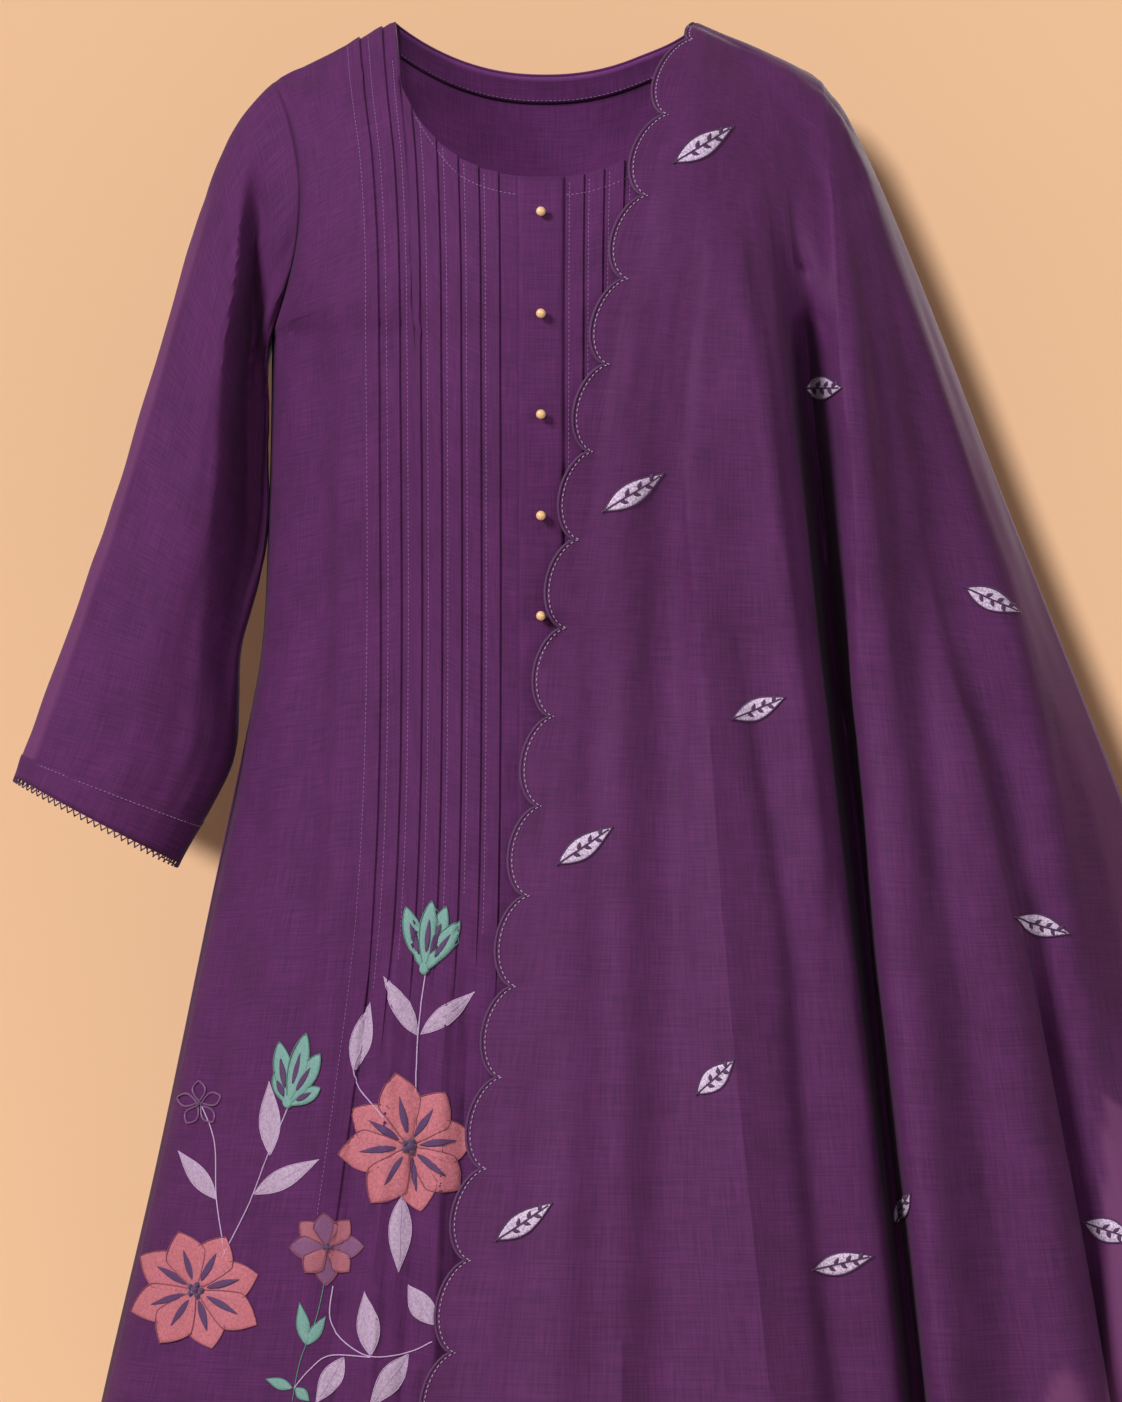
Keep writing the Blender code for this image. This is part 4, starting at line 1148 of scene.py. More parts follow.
def woven(name, colour, shade, lit, roughness=0.8, sheen=0.02):
    """Plain-woven cotton: thick and thin threads show as short streaks both ways, on a soft matt ground.

    Real threads lie 0.3 mm apart, too fine to show, so the streaks are drawn 1 mm wide.
    """
    material, shader = new_material(name)
    if shader is None:
        return material
    link = material.node_tree.links.new
    weave = add_node(material, "ShaderNodeUVMap", uv_map="weave")
    painted_light_share = add_node(material, "ShaderNodeAttribute", attribute_name="painted_light_through")
    streaks = []
    for scale in ((950, 34, 1), (34, 950, 1)):
        placing = add_node(
            material, "ShaderNodeMapping", {"Vector": weave.outputs["UV"]}, {"Scale": scale}
        )
        streaks.append(add_node(
            material, "ShaderNodeTexNoise", {"Vector": placing.outputs["Vector"]},
            {"Scale": 1.0, "Detail": 2.0, "Roughness": 0.6},
        ))
    clouds = add_node(
        material, "ShaderNodeTexNoise", {"Vector": weave.outputs["UV"]},
        {"Scale": 22.0, "Detail": 5.0, "Roughness": 0.65},
    )
    both = add_node(
        material, "ShaderNodeMath", {0: streaks[0].outputs["Fac"], 1: streaks[1].outputs["Fac"]},
        operation="ADD",
    )
    strength = add_node(
        material, "ShaderNodeMapRange", {"Value": both.outputs[0]},
        {"From Min": 0.72, "From Max": 1.28, "To Min": 0.02, "To Max": 0.98},
    )
    ground = add_node(
        material, "ShaderNodeMix", {"Factor": strength.outputs[0]}, {6: (*shade, 1), 7: (*colour, 1)},
        data_type="RGBA",
    )
    patchy = add_node(
        material, "ShaderNodeMapRange", {"Value": clouds.outputs["Fac"]},
        {"From Min": 0.3, "From Max": 0.7, "To Min": 0.88, "To Max": 1.12},
    )
    varied = add_node(
        material, "ShaderNodeHueSaturation", {"Color": ground.outputs[2], "Value": patchy.outputs[0]}
    )
    # Painted light: the lighter lit colour is mixed in by each point's share, standing in for light through
    # the cloth
    painted_light_mix = add_node(
        material, "ShaderNodeMix", {"Factor": painted_light_share.outputs["Fac"], 6: varied.outputs[0]}, {7: (*lit, 1)},
        data_type="RGBA",
    )
    raised = add_node(
        material, "ShaderNodeBump", {"Height": both.outputs[0]}, {"Strength": 0.5, "Distance": 0.00012}
    )
    link(painted_light_mix.outputs[2], shader.inputs["Base Color"])
    link(raised.outputs["Normal"], shader.inputs["Normal"])
    shader.inputs["Roughness"].default_value = roughness
    shader.inputs["Sheen Weight"].default_value = sheen
    shader.inputs["Sheen Roughness"].default_value = 0.5
    shader.inputs["Specular IOR Level"].default_value = 0.18
    return material


def spun(name, colour, roughness=0.7, sheen=0.05, grain=900.0, depth=0.0002, contrast=0.25):
    """Thread, cord or close embroidery: a fine twisted grain, drawn 1 mm coarse so that it shows."""
    material, shader = new_material(name)
    if shader is None:
        return material
    link = material.node_tree.links.new
    place = add_node(material, "ShaderNodeTexCoord")
    twist = add_node(
        material, "ShaderNodeTexNoise", {"Vector": place.outputs["Object"]},
        {"Scale": grain, "Detail": 3.0, "Roughness": 0.7},
    )
    tone = add_node(
        material, "ShaderNodeMapRange", {"Value": twist.outputs["Fac"]},
        {"From Min": 0.3, "From Max": 0.7, "To Min": 1 - contrast, "To Max": 1 + contrast * 0.6},
    )
    varied = add_node(
        material, "ShaderNodeHueSaturation", {"Value": tone.outputs[0]}, {"Color": (*colour, 1)}
    )
    raised = add_node(
        material, "ShaderNodeBump", {"Height": twist.outputs["Fac"]}, {"Strength": 0.6, "Distance": depth}
    )
    link(varied.outputs[0], shader.inputs["Base Color"])
    link(raised.outputs["Normal"], shader.inputs["Normal"])
    shader.inputs["Roughness"].default_value = roughness
    shader.inputs["Sheen Weight"].default_value = sheen
    return material


def pearl():
    """Moulded pearl-coated plastic: a smooth gloss over warm gold, a little cloudy."""
    material, shader = new_material("pearl_coated_plastic")
    if shader is None:
        return material
    place = add_node(material, "ShaderNodeTexCoord")
    cloud = add_node(
        material, "ShaderNodeTexNoise", {"Vector": place.outputs["Object"]}, {"Scale": 500.0, "Detail": 2.0}
    )
    tone = add_node(
        material, "ShaderNodeMix", {"Factor": cloud.outputs["Fac"]},
        {6: (*linear("#d9a876"), 1), 7: (*bpy.context.scene.kurti_colours.button, 1)}, data_type="RGBA",
    )
    material.node_tree.links.new(tone.outputs[2], shader.inputs["Base Color"])
    shader.inputs["Roughness"].default_value = 0.28
    shader.inputs["Coat Weight"].default_value = 0.4
    return material


def kurti_cotton():
    colours = bpy.context.scene.kurti_colours
    return woven("cotton_cambric", colours.kurti, colours.kurti_shade, colours.painted_light_through)


def dupatta_voile():
    colours = bpy.context.scene.kurti_colours
    return woven(
        "cotton_silk_voile", colours.dupatta, colours.dupatta_shade, colours.painted_light_through, roughness=0.68, sheen=0.03
    )


# Pieces


def build_panels():
    """The front with its tucks, the back, the placket and the facing inside the back neck."""
    sizes = bpy.context.scene.kurti_sizes
    heights = panel_heights(FRONT_ROWS)
    cuts = front_cuts()
    front = np.array([column_line(cut, True, heights) for cut, _, _ in cuts]).transpose(1, 0, 2)
    relief = np.zeros(front.shape[:2])
    for j, (cut, share, end_z) in enumerate(cuts):
        for i, (x, _, z) in enumerate(front[:, j]):
            shown = ease((z - end_z) / TUCK_FADE + 0.5)
            wave = rumple(x, z, 3.1, 0.022, 0.20, sizes.wave_height)
            wave += rumple(x, z, 8.4, 0.009, 0.06, FINE_WAVE)
            # The cloth between stitched tucks lies flatter.
            loose = mix(1.0, 0.35, ease((0.115 - abs(cut)) / 0.02) * ease((z + 0.62) / 0.1))
            edge = ease((SHOULDER_HALF - abs(cut)) / SEAM_EASE)
            relief[i, j] = sizes.tuck_height * share * shown + wave * loose * edge - SEAM_SINK * (1 - edge)
    relief += crease_relief(front, KURTI_CREASES)
    front = relieved(front, relief, -1)
    cotton = kurti_cotton()
    cloth("kurti_front_cloth", front, cotton, -1, ["kurti_front"])

    spread = np.linspace(-1, 1, BACK_LINES)
    side_cuts = [SHOULDER_HALF * math.copysign(1 - (1 - abs(t)) ** 1.15, t) for t in spread]
    side_cuts = sorted(side_cuts + [NECK_HALF / TUCK_FLARE[0][1] * side for side in (-1, 1)])
    back = np.array([column_line(cut, False, heights) for cut in side_cuts]).transpose(1, 0, 2)
    relief = np.zeros(back.shape[:2])
    for j, cut in enumerate(side_cuts):
        edge = ease((SHOULDER_HALF - abs(cut)) / SEAM_EASE)
        for i, (x, _, z) in enumerate(back[:, j]):
            wave = rumple(x, z, 5.2, 0.028, 0.22, 1.4 * sizes.wave_height)
            wave += rumple(x, z, 1.4, 0.010, 0.06, FINE_WAVE)
            relief[i, j] = wave * edge * ease((-0.05 - z) / 0.08) - SEAM_SINK * (1 - edge)
    relief += crease_relief(back, BACK_CREASES)
    back = relieved(back, relief, 1)
    back_piece = cloth("kurti_back_cloth", back, cotton, 1, ["kurti_back"])

    lines = []
    drops = FACING_WIDTH * np.linspace(0, 1, 7)
    for x, top in facing_tops():
        lines.append([panel_point(x, top - drop, -FACING_LAY, False) for drop in drops])
    band = np.array(lines).transpose(1, 0, 2)
    facing_piece = cloth("neck_facing_band", band, cotton, -1, ["back_neck_facing"])

    lines = []
    for k in range(PLACKET_LINES + 1):
        cut = PLACKET_X + PLACKET_WIDTH * (k / PLACKET_LINES - 0.5)
        top = neck_z(cut) - 0.0004
        lift = mix(0.0008, 0.0016, ease(min(k, PLACKET_LINES - k)))
        lines.append([panel_point(column_x(cut, z), z, lift) for z in np.linspace(top, PLACKET_END_Z, 100)])
    strip = np.array(lines).transpose(1, 0, 2)
    placket_piece = cloth("placket_strip", strip, cotton, -1, ["placket"])
    return back_piece, facing_piece, placket_piece


def build_panel_sewing():
    """Stitches down each tuck, round the facing and up the hem."""
    thread = spun("polyester_sewing_thread", bpy.context.scene.kurti_colours.thread, sheen=0.3)
    under = ["kurti_front_cloth"]
    runs = []
    for fold, end_z in tuck_folds():
        cut = fold - TUCK_STITCH
        top = neck_z(column_x(cut, -0.05)) - 0.004
        bottom = min(end_z + 0.02, TUCKS_SEWN_TO_Z)
        line = []
        for z in np.arange(top, bottom, -SEWING_STEP):
            x = column_x(cut, z)
            line.append(laid(under, *seen(x, -panel_depth(x, z), z), SEWING_LIFT))
        runs += stitched(line)
    threads("tuck_stitches", runs, TUCK_THREAD, thread)

    lines = []
    for front in (True, False):
        run = []
        for x in np.linspace(-HEM_REACH, HEM_REACH, 120):
            run.append(panel_point(x, KURTI_HEM_Z + HEM_DEPTH, 0.0008, front))
        lines += stitched(run)
    band = []
    for x, top in facing_tops():
        band.append(panel_point(x, top - FACING_WIDTH + 0.0022, -FACING_LAY - 0.0006, False))
    lines += stitched(band)
    neck = []
    for x in np.linspace(*NECK_SEWN, 90):
        z = neck_z(x) - mix(0.012, 0.002, ease((abs(x) - 0.05) / 0.035))
        if abs(x - PLACKET_X) > PLACKET_WIDTH / 2 + 0.001:
            neck.append(laid(under, *seen(x, -panel_depth(x, neck_z(x)), z), SEWING_LIFT))
        elif neck:
            lines += stitched(neck)
            neck = []
    lines += stitched(neck)
    return threads("hem_and_facing_stitches", lines, SEWING_THREAD, thread)


def build_buttons():
    """Small pearl buttons, each a slightly flattened bead with a collar where it is sewn on."""
    made = []
    for number in range(BUTTONS):
        node = f"button_{number + 1}"
        low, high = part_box(node)
        centre = (low + high) / 2
        mesh = bmesh.new()
        ball = bmesh.ops.create_uvsphere(mesh, u_segments=28, v_segments=16, radius=BUTTON_RADIUS)
        bmesh.ops.rotate(mesh, verts=ball["verts"], matrix=turn_x(90))
        bmesh.ops.scale(mesh, verts=ball["verts"], vec=(1, 0.86, 1))
        collar = bmesh.ops.create_cone(
            mesh, segments=20, radius1=BUTTON_RADIUS * 0.55, radius2=BUTTON_RADIUS * 0.42, depth=0.0016
        )
        bmesh.ops.rotate(mesh, verts=collar["verts"], matrix=turn_x(90))
        bmesh.ops.translate(mesh, verts=collar["verts"], vec=(0, BUTTON_RADIUS * 0.9, 0))
        bmesh.ops.translate(mesh, verts=mesh.verts, vec=centre + Vector((0, -0.0002, 0)))
        bmesh.ops.recalc_face_normals(mesh, faces=mesh.faces)
        made.append(bmesh_piece(f"pearl_{node}", mesh, pearl(), [node]))
    return made


def turn_x(degrees):
    return Matrix.Rotation(math.radians(degrees), 3, "X")


def build_sleeve(side):
    """A sleeve with its armhole seam, soft waves, hem band and the loop lace at its cuff."""
    sizes = bpy.context.scene.kurti_sizes
    name = "right" if side < 0 else "left"
    shares = [i / SLEEVE_ROWS for i in range(SLEEVE_ROWS + 1)] + [HEM_BAND - 0.0012, HEM_BAND]
    shares.sort()
    grid, relief, painted_light_through = [], [], []
    for share in shares:
        row, lift, painted_light_share = [], [], []
        for j in range(SLEEVE_RING + 1):
            angle = 360 * j / SLEEVE_RING
            row.append(sleeve_point(side, share, angle))
            turn = math.radians(angle)
            u, v = 0.055 * math.cos(turn) * 3, share * 0.5
            seed = 2.3 if side < 0 else 9.1
            wave = rumple(u + 0.06 * math.sin(turn), v, seed, 0.035, 0.16, 1.6 * sizes.wave_height)
            wave += rumple(u * 0.6 + v, v - u, seed + 4, 0.03, 0.05, 0.0009) * ease((share - 0.1) / 0.3)
            wave *= ease(share / 0.05) * ease((1.0 - share) / 0.08)
            band = 0.0005 if share >= HEM_BAND - 0.0001 else 0.0
            seam = -0.0008 * (1 - ease(share / 0.012))
            lift.append(wave + band + seam)
            # Painted light: a lighter strip along the sleeve's outer line stands in for light through a
            # single layer
            outer = min(angle, 360 - angle)
            shown = ease((SLEEVE_PAINTED_LIGHT_ANGLE - outer) / 4) * ease((share - 0.25) / 0.2)
            painted_light_share.append(shown * (share < HEM_BAND) * SLEEVE_PAINTED_LIGHT)
        grid.append(row)
        relief.append(lift)
        painted_light_through.append(painted_light_share)
    relief = np.array(relief)
    relief[:, -1] = relief[:, 0]
    grid = relieved(np.array(grid), relief, side)
    grid[:, -1] = grid[:, 0]
    piece = cloth(
        f"sleeve_{name}_cloth", grid, kurti_cotton(), side, [f"sleeve_{name}"],
        closed=True, painted_light_through=np.array(painted_light_through),
    )

    def cuff(share, angle, lift):
        """A point that stands off the sleeve by its lift."""
        point = sleeve_point(side, share, angle)
        across = sleeve_point(side, share, angle + 1) - sleeve_point(side, share, angle - 1)
        down = sleeve_point(side, min(share + 0.01, 1), angle) - sleeve_point(side, share - 0.01, angle)
        return point + across.cross(down).normalized() * side * lift

    colours = bpy.context.scene.kurti_colours
    thread = spun("polyester_sewing_thread", colours.thread, sheen=0.3)
    band = [cuff(HEM_BAND + 0.006, 360 * j / 90, 0.0011) for j in range(91)]
    sewing = threads(f"sleeve_{name}_stitches", stitched(band), SEWING_THREAD, thread)

    edge = [cuff(1.0, 360 * j / 360, 0.0) for j in range(361)]
    gone = np.concatenate([[0.0], np.cumsum([(b - a).length for a, b in zip(edge, edge[1:])])])
    count = round(gone[-1] / sizes.lace_pitch)
    runs = []
    for k in range(count):
        run = []
        for t in range(9):
            turn = t / 8
            bend = turn + 0.16 * math.sin(2 * math.pi * turn)
            angle = float(np.interp((k + bend) / count * gone[-1], gone, range(361)))
            along_sleeve = (sleeve_point(side, 1.0, angle) - sleeve_point(side, 0.96, angle)).normalized()
            drop = sizes.lace_depth * math.sin(math.pi * turn) ** 0.7
            across = sleeve_point(side, 1.0, angle + 1) - sleeve_point(side, 1.0, angle - 1)
            outward = across.cross(along_sleeve).normalized() * side
            lie = 0.0005 if t < 4 else -0.0004
            run.append(sleeve_point(side, 1.0, angle) + along_sleeve * drop + outward * lie)
        runs.append(run)
    runs.append(edge[::3])
    cord = spun("cotton_lace_thread", colours.lace)
    lace = threads(
        f"cuff_loop_lace_{name}", runs, sizes.lace_thread, cord, [f"cuff_lace_{name}"], sides=1
    )
    return piece, sewing, lace


def fall_relief(grid, seed, creases, pinned):
    """Soft waves of the dupatta, growing below the shoulder, with its crisp creases."""
    sizes = bpy.context.scene.kurti_sizes
    lengths = cloth_lengths(grid)
    relief = crease_relief(grid, creases) * sizes.crease_share
    columns = grid.shape[1]
    for i in range(grid.shape[0]):
        for j in range(columns):
            u, v = lengths[i, j]
            x, _, z = grid[i, j]
            growth = 0.8 * ease((-0.04 - z) / 0.3)
            wave = rumple(u - 0.12 * v, v, seed, 0.026, 0.24, 1.5 * sizes.wave_height)
            wave += rumple(u + 0.1 * v, v, seed + 3, 0.011, 0.10, 0.5 * sizes.wave_height)
            wave += rumple(u, v, seed + 6, 0.008, 0.03, 0.00030)
            relief[i, j] += wave * growth
            if "start" in pinned:
                relief[i, j] *= ease(j / 5)
            if "end" in pinned:
                relief[i, j] *= ease((columns - 1 - j) / 5)
    return relief


def outer_painted_light(grid, front):
    """Painted light where light comes through: most in the single layer along the arm's outer line."""
    painted_light_share = np.zeros(grid.shape[:2])
    for i, row in enumerate(grid):
        for j, (x, _, z) in enumerate(row):
            inside = outline_x(z) - x
            width = mix(*SELVAGE_WIDTHS, ease((-0.15 - z) / 0.5))
            painted_light_share[i, j] = SELVAGE_PAINTED_LIGHT * ease((width - inside) / 0.004 + 0.5) * ease((-0.10 - z) / 0.15)
            if not front:
                continue
            edge = SINGLE_TOP_Z - SINGLE_SCALLOP * abs(math.sin(math.pi * (x - SINGLE_CUSP_X) / SINGLE_PITCH))
            single = ease((x - SINGLE_X) / 0.003) * ease((edge - z) / 0.003)
            across = (x - PALE_END_X) / PALE_END_WIDTH
            up = (z - PALE_END_Z) / PALE_END_HEIGHT
            round_end = ease(4 * (1 - math.hypot(across, up)))
            painted_light_share[i, j] = max(painted_light_share[i, j], SINGLE_LAYER_PAINTED_LIGHT * single, SINGLE_LAYER_PAINTED_LIGHT * round_end)
    return painted_light_share


def build_dupatta():
    """The three falls with their scalloped borders."""
    voile = dupatta_voile()
    made = {}
    for side, front, folds, hem_z in (
        ("front", True, FRONT_FOLDS, DUPATTA_HEM_Z), ("back", False, BACK_FOLDS, DUPATTA_BACK_HEM_Z),
    ):
        rows = scallop_rows(front, hem_z)
        shares = [share for share, _ in rows]
        stations = fold_stations(folds, front)
        if front:
            stations = [edge_station(front)] + stations
        else:
            stations = [outer_station(front)] + stations + [edge_station(front)]
        fall = fall_points(stations, shares, hem_z, STATION_STEPS if front else BACK_STEPS)
        top = outline_z(edge_station(front)[0])
        border = []
        for share, reach in rows:
            z = mix(top, hem_z, share)
            insets = [mix(-reach, BORDER_STEM, t) for t in (0, 0.2, 0.4, 0.6, 0.8)]
            border.append([edge_point(z, inset, front) for inset in insets])
        plain_edge = np.array([[edge_station(front)[1](mix(top, hem_z, share))] for share in shares])
        if front:
            fall = relieved(fall, fall_relief(fall, 4.4, DUPATTA_CREASES, ("end",)), -1)
            grid = np.concatenate([np.array(border) + (fall[:, :1] - plain_edge), fall], axis=1)
        else:
            fall = relieved(fall, fall_relief(fall, 7.7, (), ("start",)), -1)
            grid = np.concatenate([fall, np.array(border)[:, ::-1] + (fall[:, -1:] - plain_edge)], axis=1)
        made[side] = (
            cloth(
                f"dupatta_{side}_cloth", grid, voile, -1,
                [f"dupatta_{side}_fall", f"dupatta_edge_{side}"], painted_light_through=outer_painted_light(grid, front),
            ),
            grid[:, 0] if front else grid[:, -1],
            grid[:, 4] if front else grid[:, -5],
        )
    stations = fold_stations(ARM_FOLDS, True) + [outer_station(True)]
    shares = [(i / ARM_ROWS) ** 1.5 for i in range(ARM_ROWS + 1)]
    grid = fall_points(stations, shares, DUPATTA_HEM_Z)
    grid = relieved(grid, fall_relief(grid, 6.1, ARM_CREASES, ("start", "end")), -1)
    arm = cloth(
        "dupatta_arm_cloth", grid, voile, -1, ["dupatta_arm_fall"],
        painted_light_through=outer_painted_light(grid, True),
    )
    return made, arm


def build_piping(made):
    """The corded piping round each scallop, with a row of stitches just inside it."""
    sizes = bpy.context.scene.kurti_sizes
    colours = bpy.context.scene.kurti_colours
    cord = spun("cotton_piping_cord", colours.piping, grain=700.0)
    thread = spun("bright_sewing_thread", colours.edge_thread, sheen=0.3)
    pieces = {}
    for side, (_, rim, inner) in made.items():
        out = -1 if side == "front" else 1
        lift = Vector((0, out * sizes.piping_radius * 0.35, 0))
        run = [Vector(p) + lift for p in rim]
        piping = threads(f"dupatta_piping_{side}", [run], sizes.piping_radius, cord, sides=1)
        inset = []
        for p, q in zip(rim, inner):
            p, q = Vector(p), Vector(q)
            way = (q - p).normalized() if (q - p).length > 1e-6 else Vector((1, 0, 0))
            inset.append(p + way * sizes.stitch_inset + Vector((0, out * 0.0009, 0)))
        runs = stitched(inset, gap_share=1.4)
        stitches = threads(f"dupatta_edge_stitches_{side}", runs, EDGE_THREAD, thread)
        pieces[side] = [piping, stitches]
    return pieces


def sew_leaves(leaves, mesh, lines, under, midrib):
    """The spray's leaves, each with a line round it and, where asked, a stitched midrib."""
    for base_x, base_z, tip_x, tip_z, half in leaves:
        base, tip = Vector((base_x, base_z)), Vector((tip_x, tip_z))
        patch(mesh, under, base, tip, half, MOTIF_LIFT)
        lines.append(outline(under, base, tip, half, THREAD_LIFT))
        if midrib:
            lines.append(line_on(under, (base, base.lerp(tip, 0.85)), MIDRIB_LIFT))


def sew_bud(bud, mesh, lines, under, slits):
    """A bud: petals that lie over each other, each with a slit of satin stitch, and a cup at their base."""
    base = Vector(bud[0])
    for k, tip in enumerate(bud[1]):
        tip = Vector(tip)
        lift = MOTIF_LIFT + PETAL_STEP * k
        half = BUD_HALF if (tip - base).length > BUD_LONG else BUD_SHORT_HALF
        patch(mesh, under, base, tip, half, lift, bud_width)
        lines.append(outline(under, base, tip, half, lift * 0.8, bud_width))
        patch(slits, under, base.lerp(tip, 0.26), base.lerp(tip, 0.76), BUD_SLIT_HALF, BUD_SLIT_LIFT)
    low = base - Vector((0, CUP_DROP))
    patch(mesh, under, low, low + Vector((0, CUP_HEIGHT)), CUP_HALF, CUP_LIFT, steps=8)


def sew_flower(flower, meshes, lines, under, slits=None):
    """A flower's petals, a little uneven, each on the next of its meshes in turn."""
    x, z, reach, half, turn, count = flower
    centre = Vector((x, z))
    uneven = random.Random(int(-z * 1000))
    for k in range(count):
        angle = math.radians(turn + 360 * k / count + uneven.uniform(-4, 4))
        way = Vector((math.cos(angle), math.sin(angle)))
        long = reach * uneven.uniform(0.90, 1.10)
        lift = PETAL_LIFT + PETAL_STEP * (k % 3)
        tip = centre + way * long
        base = centre + way * reach * 0.04
        patch(meshes[k % len(meshes)], under, base, tip, half, lift, petal_width, steps=18)
        lines.append(outline(under, base, tip, half, lift * 0.8 + 0.0001, petal_width, steps=20))
        if slits is not None:
            patch(slits, under, base.lerp(tip, 0.12), base.lerp(tip, 0.70), SLIT_HALF, SLIT_LIFT)


def beaded_flower(under):
    """The lines of the small flower that is only outlined, in beads."""
    x, z, reach, half, turn, count = OUTLINE_FLOWER
    lines = []
    for k in range(count):
        angle = math.radians(turn + 360 * k / count)
        way = Vector((math.cos(angle), math.sin(angle)))
        base, tip = Vector((x, z)) + way * 0.0015, Vector((x, z)) + way * reach
        lines.append(outline(under, base, tip, half, 0.0006, bud_width))
    return lines


def flower_knots(under):
    """The knots at each flower's centre: a large one with a ring of smaller ones."""
    knots = bmesh.new()
    spots = [(x, z, 0.0030, 5) for x, z, *_ in CORAL_FLOWERS]
    spots += [(x, z, 0.0016, 4) for x, z, *_ in SHEER_FLOWERS] + [(*OUTLINE_FLOWER[:2], 0.0014, 3)]
    for x, z, radius, count in spots:
        for k in range(count + 1):
            spread = 0 if k == 0 else radius * 1.25
            angle = 2 * math.pi * k / count
            place = laid(under, x + spread * math.cos(angle), z + spread * math.sin(angle), KNOT_LIFT)
            size = radius * (1.0 if k == 0 else 0.72)
            ball = bmesh.ops.create_icosphere(knots, subdivisions=2, radius=size)
            bmesh.ops.translate(knots, verts=ball["verts"], vec=place)
    return knots


def build_applique():
    """The spray of flowers, buds and leaves sewn on the kurti's lower right front."""
    colours = bpy.context.scene.kurti_colours
    under = ["kurti_front_cloth"]
    lilac, coral, sheer_coral, sheer_purple, mint, slits = (bmesh.new() for _ in range(6))
    lilac_lines, coral_lines, mint_lines = [], [], []
    sew_leaves(LILAC_LEAVES, lilac, lilac_lines, under, midrib=True)
    sew_leaves(MINT_LEAVES, mint, mint_lines, under, midrib=False)
    for bud in MINT_BUDS:
        sew_bud(bud, mint, mint_lines, under, slits)
    for flower in CORAL_FLOWERS:
        sew_flower(flower, (coral,), coral_lines, under, slits)
    for flower in SHEER_FLOWERS:
        sew_flower(flower, (sheer_purple, sheer_coral), coral_lines, under)
    beaded_lines = beaded_flower(under)
    cotton = {"grain": 620.0, "contrast": 0.35}
    pieces = []
    for name, mesh, material in (
        ("lilac_leaves", lilac, spun("lilac_applique_cotton", colours.lilac, **cotton)),
        ("coral_flowers", coral, spun("coral_applique_cotton", colours.coral, **cotton)),
        ("sheer_flower", sheer_coral, spun("sheer_coral_organza", colours.sheer_coral)),
        ("veiled_petals", sheer_purple, spun("purple_organza", colours.sheer_purple)),
        ("mint_buds", mint, spun("mint_applique_cotton", colours.mint)),
        ("slits", slits, spun("purple_satin_stitch", colours.slit)),
    ):
        pieces.append(bmesh_piece(f"applique_{name}", mesh, material))
    mint_lines += [line_on(under, stem, THREAD_LIFT) for stem in MINT_STEMS]
    stem_lines = [line_on(under, stem, THREAD_LIFT) for stem in STEMS]
    stem_thread = spun("lilac_stem_thread", colours.stem)
    beading = spun("glossy_purple_beads", colours.beads, roughness=0.35)
    for name, runs, radius, material, sides in (
        ("leaf_edges", lilac_lines, 0.00028, stem_thread, 0),
        ("petal_edges", coral_lines, 0.00035, spun("coral_edge_thread", colours.coral_edge), 0),
        ("mint_edges", mint_lines, 0.00032, spun("mint_edge_thread", colours.mint_edge), 0),
        ("stems", stem_lines, 0.00045, stem_thread, 1),
        ("outline_flower", beaded_lines, 0.0008, beading, 0),
    ):
        pieces.append(threads(f"applique_{name}", runs, radius, material, sides=sides))
    knots = flower_knots(under)
    knot_thread = spun("purple_knot_thread", colours.slit, sheen=0.4)
    pieces.append(bmesh_piece("flower_centre_beads", knots, knot_thread))
    return pieces


def build_leaves():
    """The dupatta's embroidered leaves: close lilac stitches with a dark edge, a vein and side veins."""
    colours = bpy.context.scene.kurti_colours
    fill, notches = bmesh.new(), bmesh.new()
    edges, veins = [], []
    shown = ["dupatta_front_cloth", "dupatta_arm_cloth"]
    for leaves, under, back in ((DUPATTA_LEAVES, shown, False), (BACK_LEAVES, ["dupatta_back_cloth"], True)):
        for base_x, base_z, tip_x, tip_z, half in leaves:
            base, tip = Vector((base_x, base_z)), Vector((tip_x, tip_z))
            patch(fill, under, base, tip, half, 0.0009, back=back, steps=20, across=5)
            edges.append(outline(under, base, tip, half + 0.0003, 0.0006, back=back, steps=24))
            axis, side = tip - base, Vector((base_z - tip_z, tip_x - base_x)).normalized()
            vein = [base.lerp(tip, share) for share in (-0.04, 0.5, 0.93)]
            veins.append(line_on(under, vein, 0.0011, back))
            for k, share in enumerate((0.26, 0.36, 0.46, 0.56, 0.66, 0.76)):
                root = base + axis * share
                end = root + axis * 0.10 + side * (1 if k % 2 else -1) * half * 0.60
                patch(notches, under, root, end, 0.0021, 0.0013, back=back, steps=6, across=2)
    chain_stitch = spun("lilac_chain_stitch", colours.leaf_fill, grain=800.0, depth=0.0008, contrast=0.7)
    plum = spun("plum_edge_thread", colours.dark)
    return [
        bmesh_piece("dupatta_leaf_fill", fill, chain_stitch),
        threads("dupatta_leaf_edges", edges, 0.00055, plum),
        threads("dupatta_leaf_veins", veins, 0.00060, plum),
        bmesh_piece("dupatta_leaf_notches", notches, plum),
    ]


def matt(name, colour, scale, uneven):
    """Matt paper or paint: one pale colour, a little uneven in broad patches."""
    material, shader = new_material(name)
    place = add_node(material, "ShaderNodeTexCoord")
    grain = add_node(
        material, "ShaderNodeTexNoise", {"Vector": place.outputs["Object"]}, {"Scale": scale, "Detail": 4.0}
    )
    tone = add_node(
        material, "ShaderNodeMapRange", {"Value": grain.outputs["Fac"]},
        {"To Min": 1 - uneven, "To Max": 1 + uneven},
    )
    varied = add_node(
        material, "ShaderNodeHueSaturation", {"Value": tone.outputs[0]}, {"Color": (*colour, 1)}
    )
    material.node_tree.links.new(varied.outputs[0], shader.inputs["Base Color"])
    return material, shader


def stage_piece(name, mesh, material):
    data = bpy.data.meshes.new(name)
    mesh.to_mesh(data)
    mesh.free()
    data.materials.append(material)
    made = bpy.data.objects.new(name, data)
    bpy.context.scene.collection.objects.link(made)
    return made


